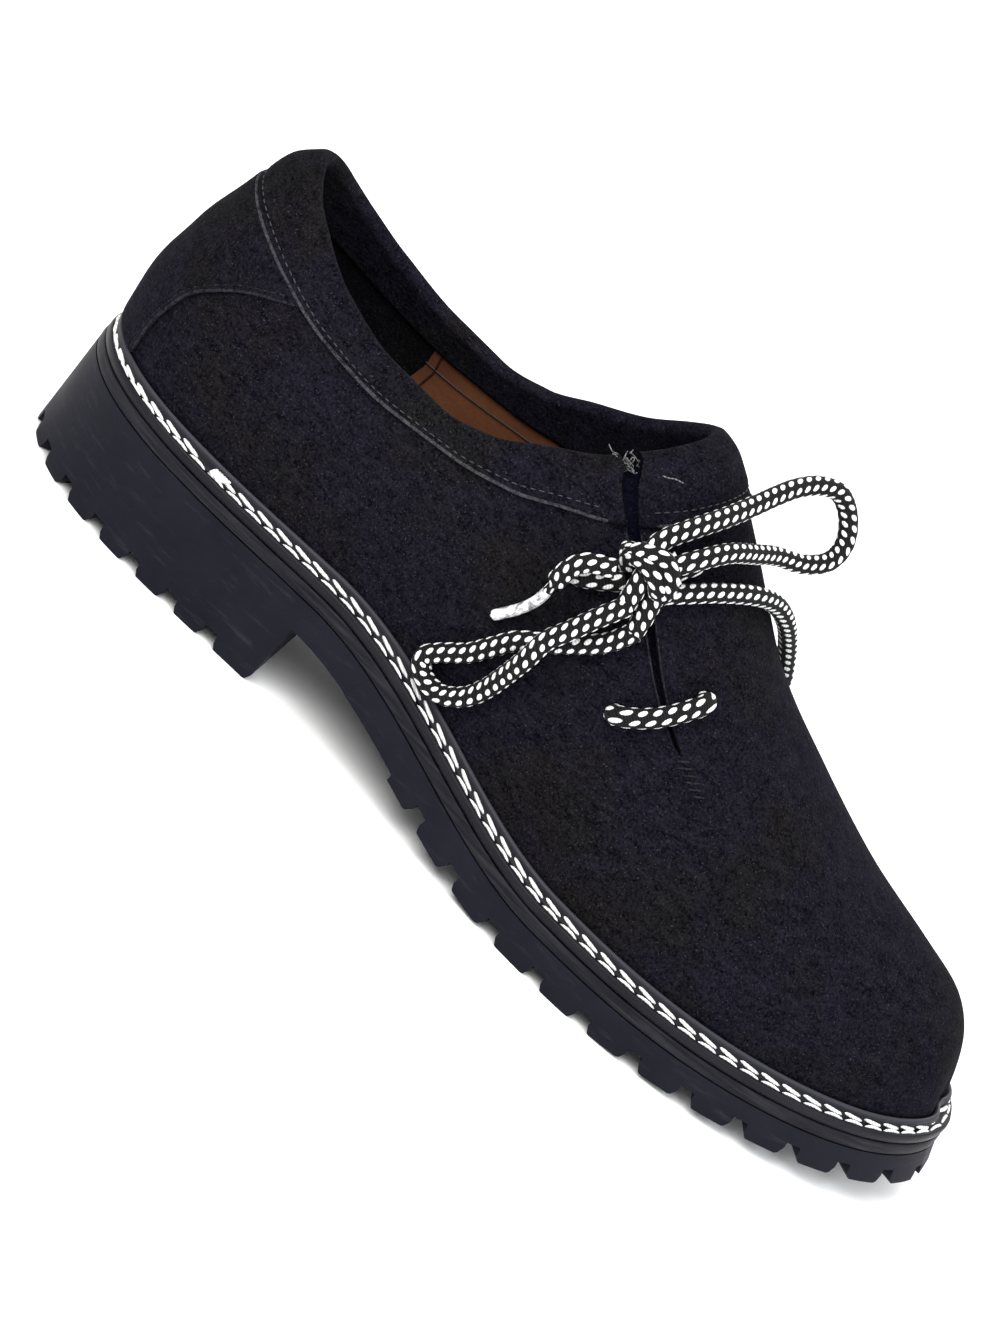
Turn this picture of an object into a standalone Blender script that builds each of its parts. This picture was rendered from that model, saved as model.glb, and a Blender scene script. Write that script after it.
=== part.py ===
"""Right shoe of a traditional Alpine pair: suede upper laced at the side, stitched welt and lugged sole.

Units are metres, +Z is up, +X points to the toe and -Y to the outer side, where the slit and the lace are.
Points are worked out from the back of the sole; at the end the middle of the shoe's box goes over the origin.

The upper is one surface. A place on it is given by its ring, which runs from 0 at the heel along the outer
side to 1 at the front and along the inner side to 2 at the heel again, and by its level, 0 at the sole and
1 at the topline.
"""

import bpy
import numpy as np

# Sole
LENGTH = 0.300
BALL_WIDTH = 0.106
HEEL_SEAT = 0.0322
HEEL_LENGTH = 0.0895
HEEL_TAPER = 0.0012
MIDSOLE_THICKNESS = 0.0038
OUTSOLE_THICKNESS = 0.0064
ARCH_THICKNESS = 0.0086
LUG_DEPTH = 0.0040
BALL_START = 0.186
BALL_END = 0.204
TOE_SPRING = 0.0068
TOE_THINNING = 0.0022
TOE_FLARE = 0.0021
TREAD_START = 0.137
LUG_REACH = 0.0165
NOTCH_WIDTH = 0.0040
NOTCH_FLARE = 0.0012
NOTCH_PITCH = 0.0157
HEEL_NOTCH_PITCH = 0.0137
FIRST_HEEL_NOTCH = 0.0150
CENTRE_LUG_LENGTH = 0.0085
CENTRE_LUG_WIDTH = 0.0260
CENTRE_LUG_PITCH = 0.0157
CENTRE_LUGS_BEHIND_BALL = 2
HEEL_CENTRE_LUG_SETBACK = 0.0314

# Welt and insole
WELT_WIDTH = 0.0060
HEEL_WELT_WIDTH = 0.0045
WELT_EDGE = 0.0028
WELT_LIP = 0.0062
LIP_FOOT_WIDTH = 0.0024
LIP_TOP_WIDTH = 0.0016
LEDGE_RISE = 0.0004
INSOLE_THICKNESS = 0.0030

# Upper
WALL = 0.0020
BACK_HEIGHT = 0.0728
QUARTER_HEIGHT = 0.0550
THROAT_HEIGHT = 0.0992
HEEL_BULGE = 0.0048
SIDE_BULGE = 0.0030
TOE_BULGE = 0.0018
BULGE_HEIGHT = 0.75
HEEL_BULGE_END = 0.28
RIDGE_TURN_START = 0.35
TOE_BULGE_START = 0.85
BAND_THICKNESS = 0.0009
COUNTER_THICKNESS = 0.0009
COUNTER_GAP = 0.012
TONGUE_THICKNESS = 0.0016
TONGUE_MARGIN = 0.0070
TONGUE_BELOW_SLIT = 0.06
TONGUE_TOP = 0.985
SLIT_WIDTH = 0.0050
SLIT_END_WIDTH = 0.0026

# Lace
LACE = 0.0052
LACE_HOLE = 0.0062
LACE_TURN = 0.0030
LACE_LIFT = 0.0033
AGLET = 0.0030
AGLET_LENGTH = 0.0200
KNOT_LIFT = 0.0056
KNOT_SIZE = (0.0160, 0.0160, 0.0104)
KNOT_MARGIN = 0.0014

# Meshes that touch keep this much between them, and more where one is faceted across the other
CLEARANCE = 0.0003
FACET_CLEARANCE = 0.0007

# The sole's edge: share of the length, share of the ball width; heel, outer side, toe, inner side
OUTLINE = (
    (0.000, 0.000), (0.035, -0.215), (0.130, -0.335), (0.300, -0.358), (0.460, -0.410), (0.620, -0.492),
    (0.760, -0.484), (0.880, -0.377), (0.967, -0.190), (1.000, 0.060), (0.965, 0.290), (0.880, 0.430),
    (0.740, 0.500), (0.600, 0.440), (0.440, 0.335), (0.280, 0.325), (0.120, 0.325), (0.035, 0.215),
)
# The last's ridge: share of the feather line's length, share of the throat's height over the seat
RIDGE = (
    (1.000, 0.000), (0.994, 0.110), (0.977, 0.232), (0.943, 0.330), (0.890, 0.385), (0.821, 0.444),
    (0.716, 0.584), (0.636, 0.711), (0.587, 0.815), (0.535, 0.912), (0.490, 0.979), (0.458, 1.000),
    (0.360, 0.935), (0.220, 0.865), (0.082, 0.855), (0.000, 0.930),
)
THROAT_ROW = 11
# The topline: share from back to throat, weight of the back's height, weight of the throat's height
TOPLINE = (
    (0.000, 1.00, 0.00), (0.064, 0.81, 0.00), (0.178, 0.48, 0.00), (0.292, 0.20, 0.00), (0.460, 0.00, 0.00),
    (0.581, 0.00, 0.00), (0.688, 0.00, 0.086), (0.779, 0.00, 0.283), (0.871, 0.00, 0.510),
    (0.939, 0.00, 0.756), (1.000, 0.00, 1.00),
)
# The heel's back seen from the side: share of the back's height, share of the heel bulge
BACK_CURVE = (
    (0.00, 0.00), (0.12, -0.66), (0.33, -1.00), (0.51, -0.70), (0.75, 0.10), (0.92, 0.80), (1.00, 1.70),
)
# Cross-sections along the feather line: share, roundness, outer and inner bulge as shares of the side bulge
SECTIONS = (
    (0.00, 2.00, 1.00, 1.00), (0.20, 2.00, 1.15, 1.00), (0.40, 2.25, 0.40, 0.10), (0.46, 2.40, 0.50, 0.20),
    (0.65, 2.10, 1.00, 0.50), (0.85, 2.30, 0.85, 0.65), (1.00, 2.40, 0.50, 0.50),
)
# Where each level of the upper crosses the ridge: level, share of the ridge from toe to throat
FRONT = (
    (0.00, 0.000), (0.10, 0.067), (0.20, 0.155), (0.35, 0.320), (0.50, 0.520), (0.65, 0.730), (0.80, 0.915),
    (1.00, 1.000),
)
BAND_LEVEL = 0.80
# The slit's middle line: level, place on the ring
SLIT = ((1.02, 0.806), (0.90, 0.786), (0.80, 0.781), (0.70, 0.788), (0.60, 0.796), (0.56, 0.797))
# The lace's holes in its order: place on the ring, level
LACE_HOLES = ((0.697, 0.715), (0.727, 0.585), (0.850, 0.622), (0.862, 0.752))
KNOT_PLACE = (0.772, 0.733)
# The bow's routes: place on the ring, level, lift over the upper
LOW_LOOP = (
    (0.762, 0.708, 0.0080), (0.725, 0.686, 0.0098), (0.690, 0.657, 0.0102), (0.662, 0.628, 0.0098),
    (0.632, 0.584, 0.0088), (0.592, 0.520, 0.0062), (0.540, 0.410, 0.0040), (0.490, 0.265, 0.0034),
    (0.462, 0.165, 0.0033), (0.446, 0.140, 0.0033), (0.442, 0.185, 0.0033), (0.462, 0.270, 0.0033),
    (0.510, 0.400, 0.0033), (0.560, 0.505, 0.0033), (0.610, 0.580, 0.0033), (0.650, 0.615, 0.0033),
    (0.690, 0.640, 0.0033), (0.730, 0.662, 0.0036), (0.768, 0.685, 0.0050),
)
HIGH_LOOP = (
    (0.785, 0.755, 0.0085), (0.810, 0.780, 0.0090), (0.850, 0.795, 0.0080), (0.900, 0.806, 0.0066),
    (0.950, 0.812, 0.0066), (0.990, 0.815, 0.0092), (1.020, 0.812, 0.0135), (1.042, 0.797, 0.0190),
    (1.054, 0.775, 0.0235), (1.060, 0.745, 0.0245), (1.060, 0.722, 0.0222), (1.052, 0.712, 0.0170),
    (1.030, 0.720, 0.0105), (0.990, 0.738, 0.0062), (0.940, 0.750, 0.0056), (0.890, 0.760, 0.0080),
    (0.845, 0.757, 0.0098), (0.810, 0.748, 0.0092),
)
LOW_END = (
    (0.752, 0.740, 0.0090), (0.720, 0.736, 0.0096), (0.695, 0.720, 0.0090), (0.670, 0.692, 0.0070),
    (0.648, 0.664, 0.0050), (0.620, 0.630, 0.0032), (0.590, 0.592, 0.0025), (0.565, 0.556, 0.0022),
)
HIGH_END = (
    (0.790, 0.722, 0.0055), (0.830, 0.724, 0.0044), (0.880, 0.722, 0.0034), (0.940, 0.712, 0.0034),
    (0.990, 0.696, 0.0034), (1.035, 0.672, 0.0034), (1.080, 0.640, 0.0034), (1.125, 0.600, 0.0033),
    (1.165, 0.560, 0.0030), (1.205, 0.515, 0.0025), (1.240, 0.470, 0.0022),
)
# The heel piece's front edge: level, place on the ring
COUNTER = ((0.00, 0.118), (0.12, 0.120), (0.41, 0.150), (0.60, 0.210), (0.80, 0.315))

COLOURS = {
    "suede": ((0.020, 0.020, 0.024), 0.95),
    "rubber": ((0.030, 0.032, 0.040), 0.70),
    "midsole": ((0.045, 0.045, 0.050), 0.75),
    "welt": ((0.035, 0.035, 0.040), 0.60),
    "lining": ((0.160, 0.070, 0.030), 0.55),
    "gusset": ((0.050, 0.055, 0.075), 0.90),
    "lace": ((0.030, 0.030, 0.030), 0.85),
    "aglet": ((0.800, 0.800, 0.780), 0.35),
}

# How finely things are divided: half the ring, the sole's length, and points along the laces
RING_POINTS = 36
STATIONS = 40
CORD_STEP = 16
LACE_TURN_ROWS = 5


def ease(value):
    """Rise smoothly from 0 to 1 while the value goes from 0 to 1."""
    value = np.clip(value, 0.0, 1.0)
    return value * value * (3.0 - 2.0 * value)


def read_table(rows, column, at):
    """Read a column of a table along its first column, on a curve that never overshoots the rows."""
    table = np.array(rows, float)
    table = table[np.argsort(table[:, 0])]
    places, values = table[:, 0], table[:, column]
    slopes = np.diff(values) / np.diff(places)
    before, after = slopes[:-1], slopes[1:]
    same_way = before * after > 0
    middle = np.where(same_way, 2 * before * after / np.where(same_way, before + after, 1), 0)
    tangents = np.concatenate(([slopes[0]], middle, [slopes[-1]]))
    at = np.clip(at, places[0], places[-1])
    row = np.clip(np.searchsorted(places, at, side="right") - 1, 0, len(places) - 2)
    span = places[row + 1] - places[row]
    t = (at - places[row]) / span
    return ((2 * t ** 3 - 3 * t ** 2 + 1) * values[row] + (t ** 3 - 2 * t ** 2 + t) * span * tangents[row]
            + (3 * t ** 2 - 2 * t ** 3) * values[row + 1] + (t ** 3 - t ** 2) * span * tangents[row + 1])


def closed_spline(points, count):
    """Points on the smooth closed curve through the given ones."""
    size = len(points)
    steps = np.linalg.norm(np.roll(points, -1, 0) - points, axis=1) ** 0.7
    matrix = np.zeros((size, size))
    right = np.zeros((size, 2))
    for i in range(size):
        following = (i + 1) % size
        matrix[i, i - 1] += steps[i - 1]
        matrix[i, i] += 2 * (steps[i - 1] + steps[i])
        matrix[i, following] += steps[i]
        ahead, back = points[following] - points[i], points[i] - points[i - 1]
        right[i] = 6 * (ahead / steps[i] - back / steps[i - 1])
    curvature = np.linalg.solve(matrix, right)
    knots = np.concatenate(([0.0], np.cumsum(steps)))
    places = np.linspace(0.0, knots[-1], count, endpoint=False)
    i = np.searchsorted(knots, places, side="right") - 1
    j = (i + 1) % size
    b = ((places - knots[i]) / steps[i])[:, None]
    a = 1.0 - b
    bow = ((a ** 3 - a) * curvature[i] + (b ** 3 - b) * curvature[j]) * steps[i][:, None] ** 2 / 6
    return a * points[i] + b * points[j] + bow


class Outline:
    """A closed outline seen from above, with its outer (-1) and inner (+1) edge."""

    def __init__(self, curve):
        curve = np.roll(curve, -curve[:, 0].argmin(), 0)
        toe = curve[:, 0].argmax()
        self.curve = curve
        self.sides = {-1: curve[:toe + 1], 1: np.vstack((curve[toe:], curve[:1]))[::-1]}
        self.back, self.front = curve[0, 0], curve[toe, 0]
        self.tip = curve[toe, 1]

    def edge(self, x, side):
        """How far out the edge lies at a distance from the back."""
        return np.interp(x, self.sides[side][:, 0], self.sides[side][:, 1])

    def inset(self, distance):
        """The outline a distance further in, the same all round or one for each of its points."""
        along = np.roll(self.curve, -1, 0) - np.roll(self.curve, 1, 0)
        along /= np.linalg.norm(along, axis=1)[:, None]
        return Outline(self.curve + np.column_stack((-along[:, 1], along[:, 0])) * distance)

    def arcs(self):
        """Distance along the outline to each of its points, from the back over the outer side."""
        steps = np.linalg.norm(np.diff(self.curve, axis=0), axis=1)
        return np.concatenate(([0.0], np.cumsum(steps)))

    def walk(self, start, end, pitch):
        """Places a pitch apart between two distances along the outline, each with its direction."""
        places = np.arange(start, end, pitch)
        here, ahead = [np.column_stack([np.interp(at, self.arcs(), self.curve[:, i]) for i in (0, 1)])
                       for at in (places, places + 0.001)]
        along = (ahead - here) / np.linalg.norm(ahead - here, axis=1)[:, None]
        return list(zip(here, along))

    def arc_at(self, x, side):
        """Distance along the outline to a place on one of its edges."""
        toe = self.curve[:, 0].argmax()
        if side < 0:
            return np.interp(x, self.curve[:toe, 0], self.arcs()[:toe])
        return np.interp(-x, -self.curve[toe:, 0], self.arcs()[toe:])


EDGE = Outline(closed_spline(np.array(OUTLINE) * (LENGTH, BALL_WIDTH), 720))
HEEL_SHARE = np.clip(EDGE.curve[:, :1] / HEEL_LENGTH, 0.0, 1.0)
FEATHER = EDGE.inset(HEEL_WELT_WIDTH + (WELT_WIDTH - HEEL_WELT_WIDTH) * HEEL_SHARE)
FORE_SEAT = MIDSOLE_THICKNESS + OUTSOLE_THICKNESS + LUG_DEPTH
SOLE_BASE = -(MIDSOLE_THICKNESS + OUTSOLE_THICKNESS)


def toe_share(x):
    """How far a place lies from the ball to the toe tip."""
    return np.clip((x - BALL_END) / (LENGTH - BALL_END), 0.0, 1.0)


def seat(x):
    """Height of the midsole's top: level at the heel, falling through the arch, rising again to the toe."""
    drop = ease((x - HEEL_LENGTH) / (BALL_START - HEEL_LENGTH))
    return HEEL_SEAT + (FORE_SEAT - HEEL_SEAT) * drop + TOE_SPRING * toe_share(x) ** 2


def bend(x, y, height):
    """A point at a height over the seat line and square to it, as the sole's layers lie."""
    step = 0.0005
    slope = (seat(x + step) - seat(x - step)) / (2 * step)
    reach = np.sqrt(1 + slope ** 2)
    return np.stack(np.broadcast_arrays(x - height * slope / reach, y, seat(x) + height / reach), axis=-1)


def material_of(slot):
    """One material for each slot, made once."""
    material = bpy.data.materials.get(slot)
    if material is None:
        colour, roughness = COLOURS[slot]
        material = bpy.data.materials.new(slot)
        material.use_nodes = True
        shader = material.node_tree.nodes["Principled BSDF"]
        shader.inputs["Base Color"].default_value = (*colour, 1.0)
        shader.inputs["Roughness"].default_value = roughness
        shader.inputs["Metallic"].default_value = 0.0
    return material


def add_mesh(name, points, faces, slot):
    """A named object from points and faces, shaded smooth between its sharp edges."""
    mesh = bpy.data.meshes.new(name)
    mesh.from_pydata([tuple(map(float, point)) for point in points], [], faces)
    mesh.materials.append(material_of(slot))
    mesh.shade_smooth()
    mesh.set_sharp_from_angle(angle=np.radians(40))
    piece = bpy.data.objects.new(name, mesh)
    bpy.context.scene.collection.objects.link(piece)
    return piece


def cut(piece, cutter, operation="DIFFERENCE", use_self=False):
    """Cut a piece with a hidden cutter, or join it to one; with use_self a cutter's blocks may overlap."""
    cutter.hide_render = True
    cutter.display_type = "WIRE"
    modifier = piece.modifiers.new(cutter.name, "BOOLEAN")
    modifier.operation = operation
    modifier.object = cutter
    modifier.solver = "EXACT"
    modifier.use_self = use_self


def boxes(name, corner_sets, slot):
    """Separate six-sided blocks in one object: four corners below, then four above them, per block."""
    points, faces = [], []
    for corners in corner_sets:
        first = len(points)
        points.extend(corners)
        faces.append([first + i for i in (3, 2, 1, 0)])
        faces.append([first + i for i in (4, 5, 6, 7)])
        for i in range(4):
            j = (i + 1) % 4
            faces.append([first + i, first + j, first + 4 + j, first + 4 + i])
    return add_mesh(name, points, faces, slot)


def ladder(name, outline, top, bottom, slot, start=None, end=None):
    """A sole layer between two heights, made of rungs from edge to edge that follow the seat line."""
    start = outline.back if start is None else start
    end = outline.front if end is None else end
    shares = (1 - np.cos(np.pi * (np.arange(STATIONS) + 0.5) / STATIONS)) / 2
    xs = start + (end - start) * shares
    outer, inner = outline.edge(xs, -1), outline.edge(xs, 1)
    rows = np.stack((bend(xs, outer, top(xs)), bend(xs, inner, top(xs)),
                     bottom(xs, inner), bottom(xs, outer)), axis=1)
    points = rows.reshape(-1, 3)
    last = 4 * (STATIONS - 1)
    faces = [[0, 1, 2, 3], [last + 3, last + 2, last + 1, last]]
    for here in range(0, last, 4):
        there = here + 4
        faces.extend([[there + i, there + (i + 1) % 4, here + (i + 1) % 4, here + i] for i in range(4)])
    return add_mesh(name, points, faces, slot)


def level(height):
    """A height over the seat line that is the same all along."""
    return lambda x: np.full_like(x, height)


def layer_bottom(height):
    """A layer's underside, square to the seat line."""
    return lambda x, y: bend(x, y, height)


def under(x, y, height):
    """A point under the fore part, where the sole thins and flares out to the toe."""
    share = toe_share(x)
    point = bend(x, y, height + TOE_THINNING * share)
    point[..., 0] += TOE_FLARE * share
    return point


def sole_underside(x, y):
    """The outsole's lowest face: on the floor under the heel, square to the seat line under the lugs."""
    fore = under(x, y, SOLE_BASE - LUG_DEPTH)
    back = np.clip(1 - x / HEEL_LENGTH, 0.0, 1.0)
    narrowing = 1 - HEEL_TAPER / (BALL_WIDTH / 2)
    heel = np.stack((x + HEEL_TAPER * back, y * narrowing, np.zeros_like(x)), axis=-1)
    return np.where((x < (HEEL_LENGTH + TREAD_START) / 2)[:, None], heel, fore)


def arch_cutter():
    """What is open under the arch, from the heel's breast to the first lug."""
    margin = 0.010
    xs = np.linspace(HEEL_LENGTH, TREAD_START, 10)
    roof = [bend(x, 0.0, -MIDSOLE_THICKNESS - ARCH_THICKNESS)[[0, 2]] for x in xs]
    front = bend(TREAD_START, 0.0, SOLE_BASE - LUG_DEPTH - margin)[[0, 2]]
    profile = [(front[0], -margin), tuple(front)]
    profile += [tuple(point) for point in roof[::-1]] + [(HEEL_LENGTH, -margin)]
    count = len(profile)
    points = [(x, side * BALL_WIDTH, z) for side in (-1, 1) for x, z in profile]
    faces = [list(range(count)), list(range(2 * count - 1, count - 1, -1))]
    for i in range(count):
        j = (i + 1) % count
        faces.append([j, i, count + i, count + j])
    return add_mesh("arch_cutter", points, faces, "rubber")


def notch_corners(point, along, low, high):
    """A notch's block: in from the sole's edge, straight at the back and flared at the front."""
    inward = np.array((-along[1], along[0]))
    past_edge = 0.006
    outside, inside = point - inward * past_edge, point + inward * LUG_REACH
    rear, front = -along * NOTCH_WIDTH / 2, along * NOTCH_WIDTH / 2
    flared = front + along * NOTCH_FLARE
    plan_low = [outside + rear, outside + flared, inside + flared, inside + rear]
    plan_high = [outside + rear, outside + front, inside + front, inside + rear]
    return [low(*p) for p in plan_low] + [high(*p) for p in plan_high]


def lug_blocks(name, centres, low, high):
    """Blocks across the middle of the tread."""
    blocks = []
    for x in centres:
        middle = (EDGE.edge(x, -1) + EDGE.edge(x, 1)) / 2
        half = (CENTRE_LUG_LENGTH / 2, CENTRE_LUG_WIDTH / 2)
        plan = [(x + a * half[0], middle + b * half[1]) for a, b in ((-1, -1), (1, -1), (1, 1), (-1, 1))]
        blocks.append([low(*p) for p in plan] + [high(*p) for p in plan])
    return boxes(name, blocks, "rubber")


def fore_at(height):
    """Points under the fore part at a height over the seat line."""
    return lambda x, y: tuple(under(x, y, height))


def heel_at(height):
    """Points under the heel at a height over the floor."""
    return lambda x, y: (x, y, height)


def edge_notches(below):
    """Blocks that cut the tread's edge into lugs, all round the fore part and the heel."""
    start, end = TREAD_START + NOTCH_PITCH * 0.7, TREAD_START + NOTCH_PITCH / 2
    fore = EDGE.walk(EDGE.arc_at(start, -1), EDGE.arc_at(end, 1), NOTCH_PITCH)
    low, high = fore_at(SOLE_BASE - LUG_DEPTH - below), fore_at(SOLE_BASE)
    notches = [notch_corners(p, a, low, high) for p, a in fore]
    breast = HEEL_LENGTH - FIRST_HEEL_NOTCH
    outer = EDGE.walk(EDGE.arc_at(breast, -1), 0.0, -HEEL_NOTCH_PITCH)
    inner = EDGE.walk(EDGE.arc_at(breast, 1), EDGE.arcs()[-1], HEEL_NOTCH_PITCH)
    notches += [notch_corners(p, a, heel_at(-below), heel_at(LUG_DEPTH)) for p, a in outer + inner]
    return boxes("notch_cutter", notches, "rubber")


def tread_fields(field, root, below):
    """What is cut out inside the ring of lugs, under the fore part and under the heel."""
    fore = ladder("fore_field_cutter", field, lambda x: SOLE_BASE - root + TOE_THINNING * toe_share(x),
                  lambda x, y: under(x, y, SOLE_BASE - LUG_DEPTH - below), "rubber",
                  start=TREAD_START + NOTCH_PITCH / 2)
    heel = ladder("heel_field_cutter", field, level(LUG_DEPTH - root - HEEL_SEAT),
                  lambda x, y: np.stack((x, y, np.full_like(x, -below)), axis=-1), "rubber",
                  end=HEEL_LENGTH - FIRST_HEEL_NOTCH / 2)
    return fore, heel


def make_outsole():
    """Heel, arch and lugs in one moulding, cut around its edge by a notch for each lug."""
    sole = ladder("outsole", EDGE, level(-MIDSOLE_THICKNESS - CLEARANCE), sole_underside, "rubber")
    cut(sole, arch_cutter())
    below, root, overlap = 0.004, 0.0005, 0.001
    cut(sole, edge_notches(below), use_self=True)
    field = EDGE.inset(LUG_REACH - root)
    for cutter in tread_fields(field, root, below):
        cut(sole, cutter)

    first_fore_lug = (BALL_START + BALL_END) / 2 - CENTRE_LUGS_BEHIND_BALL * CENTRE_LUG_PITCH
    fore_centres = np.arange(first_fore_lug, field.front - CENTRE_LUG_PITCH, CENTRE_LUG_PITCH)
    heel_centres = np.arange(HEEL_LENGTH - HEEL_CENTRE_LUG_SETBACK, field.back + CENTRE_LUG_PITCH / 2,
                             -CENTRE_LUG_PITCH)
    for name, centres, low, high in (
            ("fore_lugs", fore_centres, fore_at(SOLE_BASE - LUG_DEPTH), fore_at(SOLE_BASE + overlap)),
            ("heel_lugs", heel_centres, heel_at(0.0), heel_at(LUG_DEPTH + overlap))):
        cut(sole, lug_blocks(name, centres, low, high), "UNION")
    return sole


def make_midsole():
    """A flat layer of one thickness from heel to toe."""
    return ladder("midsole", EDGE, level(-CLEARANCE), layer_bottom(-MIDSOLE_THICKNESS), "midsole")


def make_insole():
    """The leather footbed inside the upper, standing on the midsole."""
    outline = FEATHER.inset(WALL + CLEARANCE)
    return ladder("insole", outline, level(INSOLE_THICKNESS), layer_bottom(CLEARANCE), "lining")


def ridge_curve():
    """The last's ridge from toe to heel as dense points, with the way along it up to the throat."""
    rows = np.array(RIDGE)
    numbered = np.column_stack((np.arange(len(rows)), rows))
    places = np.linspace(0, len(rows) - 1, 40 * len(rows))
    xs = FEATHER.back + (FEATHER.front - FEATHER.back) * read_table(numbered, 1, places)
    heights = THROAT_HEIGHT * read_table(numbered, 2, places)
    arcs = np.concatenate(([0.0], np.cumsum(np.hypot(np.diff(xs), np.diff(heights)))))
    throat = np.interp(THROAT_ROW, places, arcs)
    return xs, heights, arcs / throat


RIDGE_X, RIDGE_HEIGHT, RIDGE_SHARE = ridge_curve()


def surface(ring, height_level):
    """The upper's outside at a place on the ring and a level."""
    ring, height_level = np.broadcast_arrays(np.asarray(ring, float), np.asarray(height_level, float))
    share = (1 - np.cos(np.pi * ring)) / 2
    outer = np.sin(np.pi * ring) > 0
    front_share = read_table(FRONT, 1, height_level)
    front = np.interp(front_share, RIDGE_SHARE, RIDGE_X)
    front_height = np.interp(front_share, RIDGE_SHARE, RIDGE_HEIGHT)
    x = FEATHER.back + (front - FEATHER.back) * share

    top = (QUARTER_HEIGHT + (BACK_HEIGHT - QUARTER_HEIGHT) * read_table(TOPLINE, 1, share)
           + (THROAT_HEIGHT - QUARTER_HEIGHT) * read_table(TOPLINE, 2, share))
    height = height_level * top + (front_height - height_level * THROAT_HEIGHT) * share ** 2
    ridge = np.interp(x, RIDGE_X[::-1], RIDGE_HEIGHT[::-1])
    part = np.clip(height / np.maximum(ridge, 1e-6), 0.0, 1.0)
    part = np.where(share > 1 - 1e-9, 1.0, part)

    along = (x - FEATHER.back) / (FEATHER.front - FEATHER.back)
    roundness = read_table(SECTIONS, 1, along)
    bulge = SIDE_BULGE * np.where(outer, read_table(SECTIONS, 2, along), read_table(SECTIONS, 3, along))
    middle = FEATHER.tip * ease((along - RIDGE_TURN_START) / (1 - RIDGE_TURN_START))
    edge = np.where(outer, FEATHER.edge(x, -1), FEATHER.edge(x, 1))
    half = np.abs(edge - middle)
    narrow = np.minimum(half / (BALL_WIDTH / 4), 1.0)
    swell = bulge * narrow * np.sin(np.pi * np.clip(part / BULGE_HEIGHT, 0.0, 1.0))
    out = half * np.sqrt(np.maximum(1 - part ** roundness, 0.0)) + swell
    y = middle + np.where(outer, -1.0, 1.0) * out

    lean = HEEL_BULGE * read_table(BACK_CURVE, 1, height / BACK_HEIGHT)
    nose = TOE_BULGE * np.sin(np.pi * part) * ease((along - TOE_BULGE_START) / (1 - TOE_BULGE_START))
    x = x + lean * (1 - ease(along / HEEL_BULGE_END)) + nose
    return np.stack((x, y, seat(x) + height), axis=-1)


def normals(ring, height_level):
    """Unit vectors pointing out of the upper."""
    step = 0.002
    low, high = np.maximum(height_level - step, 0.0), np.minimum(height_level + step, 1.0)
    around = surface(ring + step, height_level) - surface(ring - step, height_level)
    upward = surface(ring, high) - surface(ring, low)
    out = np.cross(around, upward)
    return out / np.maximum(np.linalg.norm(out, axis=-1, keepdims=True), 1e-12)


def offset_surface(ring, height_level, distance):
    """The upper's outside moved out or in; it goes straight on past the topline."""
    inside = np.clip(height_level, 0.0, 1.0)
    point = surface(ring, inside) + normals(ring, inside) * distance
    step = 0.01
    upward = (surface(ring, 1.0) - surface(ring, 1.0 - step)) / step
    return point + upward * np.maximum(height_level - 1.0, 0.0)[..., None]


def ring_span(ring, height_level):
    """How long one whole step of the ring would be at a place, in metres."""
    step = 0.01
    ahead, back = surface(ring + step, height_level), surface(ring - step, height_level)
    return np.linalg.norm(ahead - back, axis=-1) / (2 * step)


def sheet(name, ring, height_level, outer, inner, slot, closed=False):
    """A solid of even thickness along the upper: rows of levels, columns around the ring."""
    rows, columns = ring.shape
    skins = [offset_surface(ring, height_level, distance) for distance in (outer, inner)]
    points = np.concatenate([skin.reshape(-1, 3) for skin in skins])
    shift = rows * columns
    faces = []
    last = columns if closed else columns - 1
    for row in range(rows - 1):
        for column in range(last):
            a, b = row * columns + column, row * columns + (column + 1) % columns
            faces.append([a, b, b + columns, a + columns])
            faces.append([shift + a + columns, shift + b + columns, shift + b, shift + a])
    for column in range(last):
        a, b = column, (column + 1) % columns
        faces.append([shift + a, shift + b, b, a])
        a, b = a + shift - columns, b + shift - columns
        faces.append([a, b, shift + b, shift + a])
    if not closed:
        for row in range(rows - 1):
            a, b = row * columns, (row + 1) * columns
            faces.append([a, b, shift + b, shift + a])
            a, b = a + columns - 1, b + columns - 1
            faces.append([b, a, shift + a, shift + b])
    return add_mesh(name, points, faces, slot)


def full_ring(levels):
    """Grid coordinates of whole rings at the given levels."""
    around = np.arange(2 * RING_POINTS) / RING_POINTS
    return np.meshgrid(around, levels)


def slit_cutter():
    """The strip that is open between the quarter and the vamp."""
    reach = 0.005
    levels = np.linspace(SLIT[-1][0], SLIT[0][0], 9)
    middle = read_table(SLIT, 1, levels)
    share = (levels - SLIT[-1][0]) / (SLIT[0][0] - SLIT[-1][0])
    width = SLIT_END_WIDTH + (SLIT_WIDTH - SLIT_END_WIDTH) * share
    half = width / 2 / ring_span(middle, np.minimum(levels, 1.0))
    ring = np.stack((middle - half, middle + half), axis=1)
    return sheet("slit_cutter", ring, np.repeat(levels[:, None], 2, axis=1), reach, -reach, "suede")


def make_upper():
    """One hollow wall from the welt to the topline, open at the collar, along the slit and underneath."""
    below_band, behind_band = np.linspace(0.0, BAND_LEVEL, 11), np.linspace(BAND_LEVEL, 1.0, 3)
    ring, height_level = full_ring(np.concatenate((below_band[:-1], behind_band)))
    return sheet("upper", ring, height_level, 0.0, -WALL, "suede", closed=True)


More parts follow.
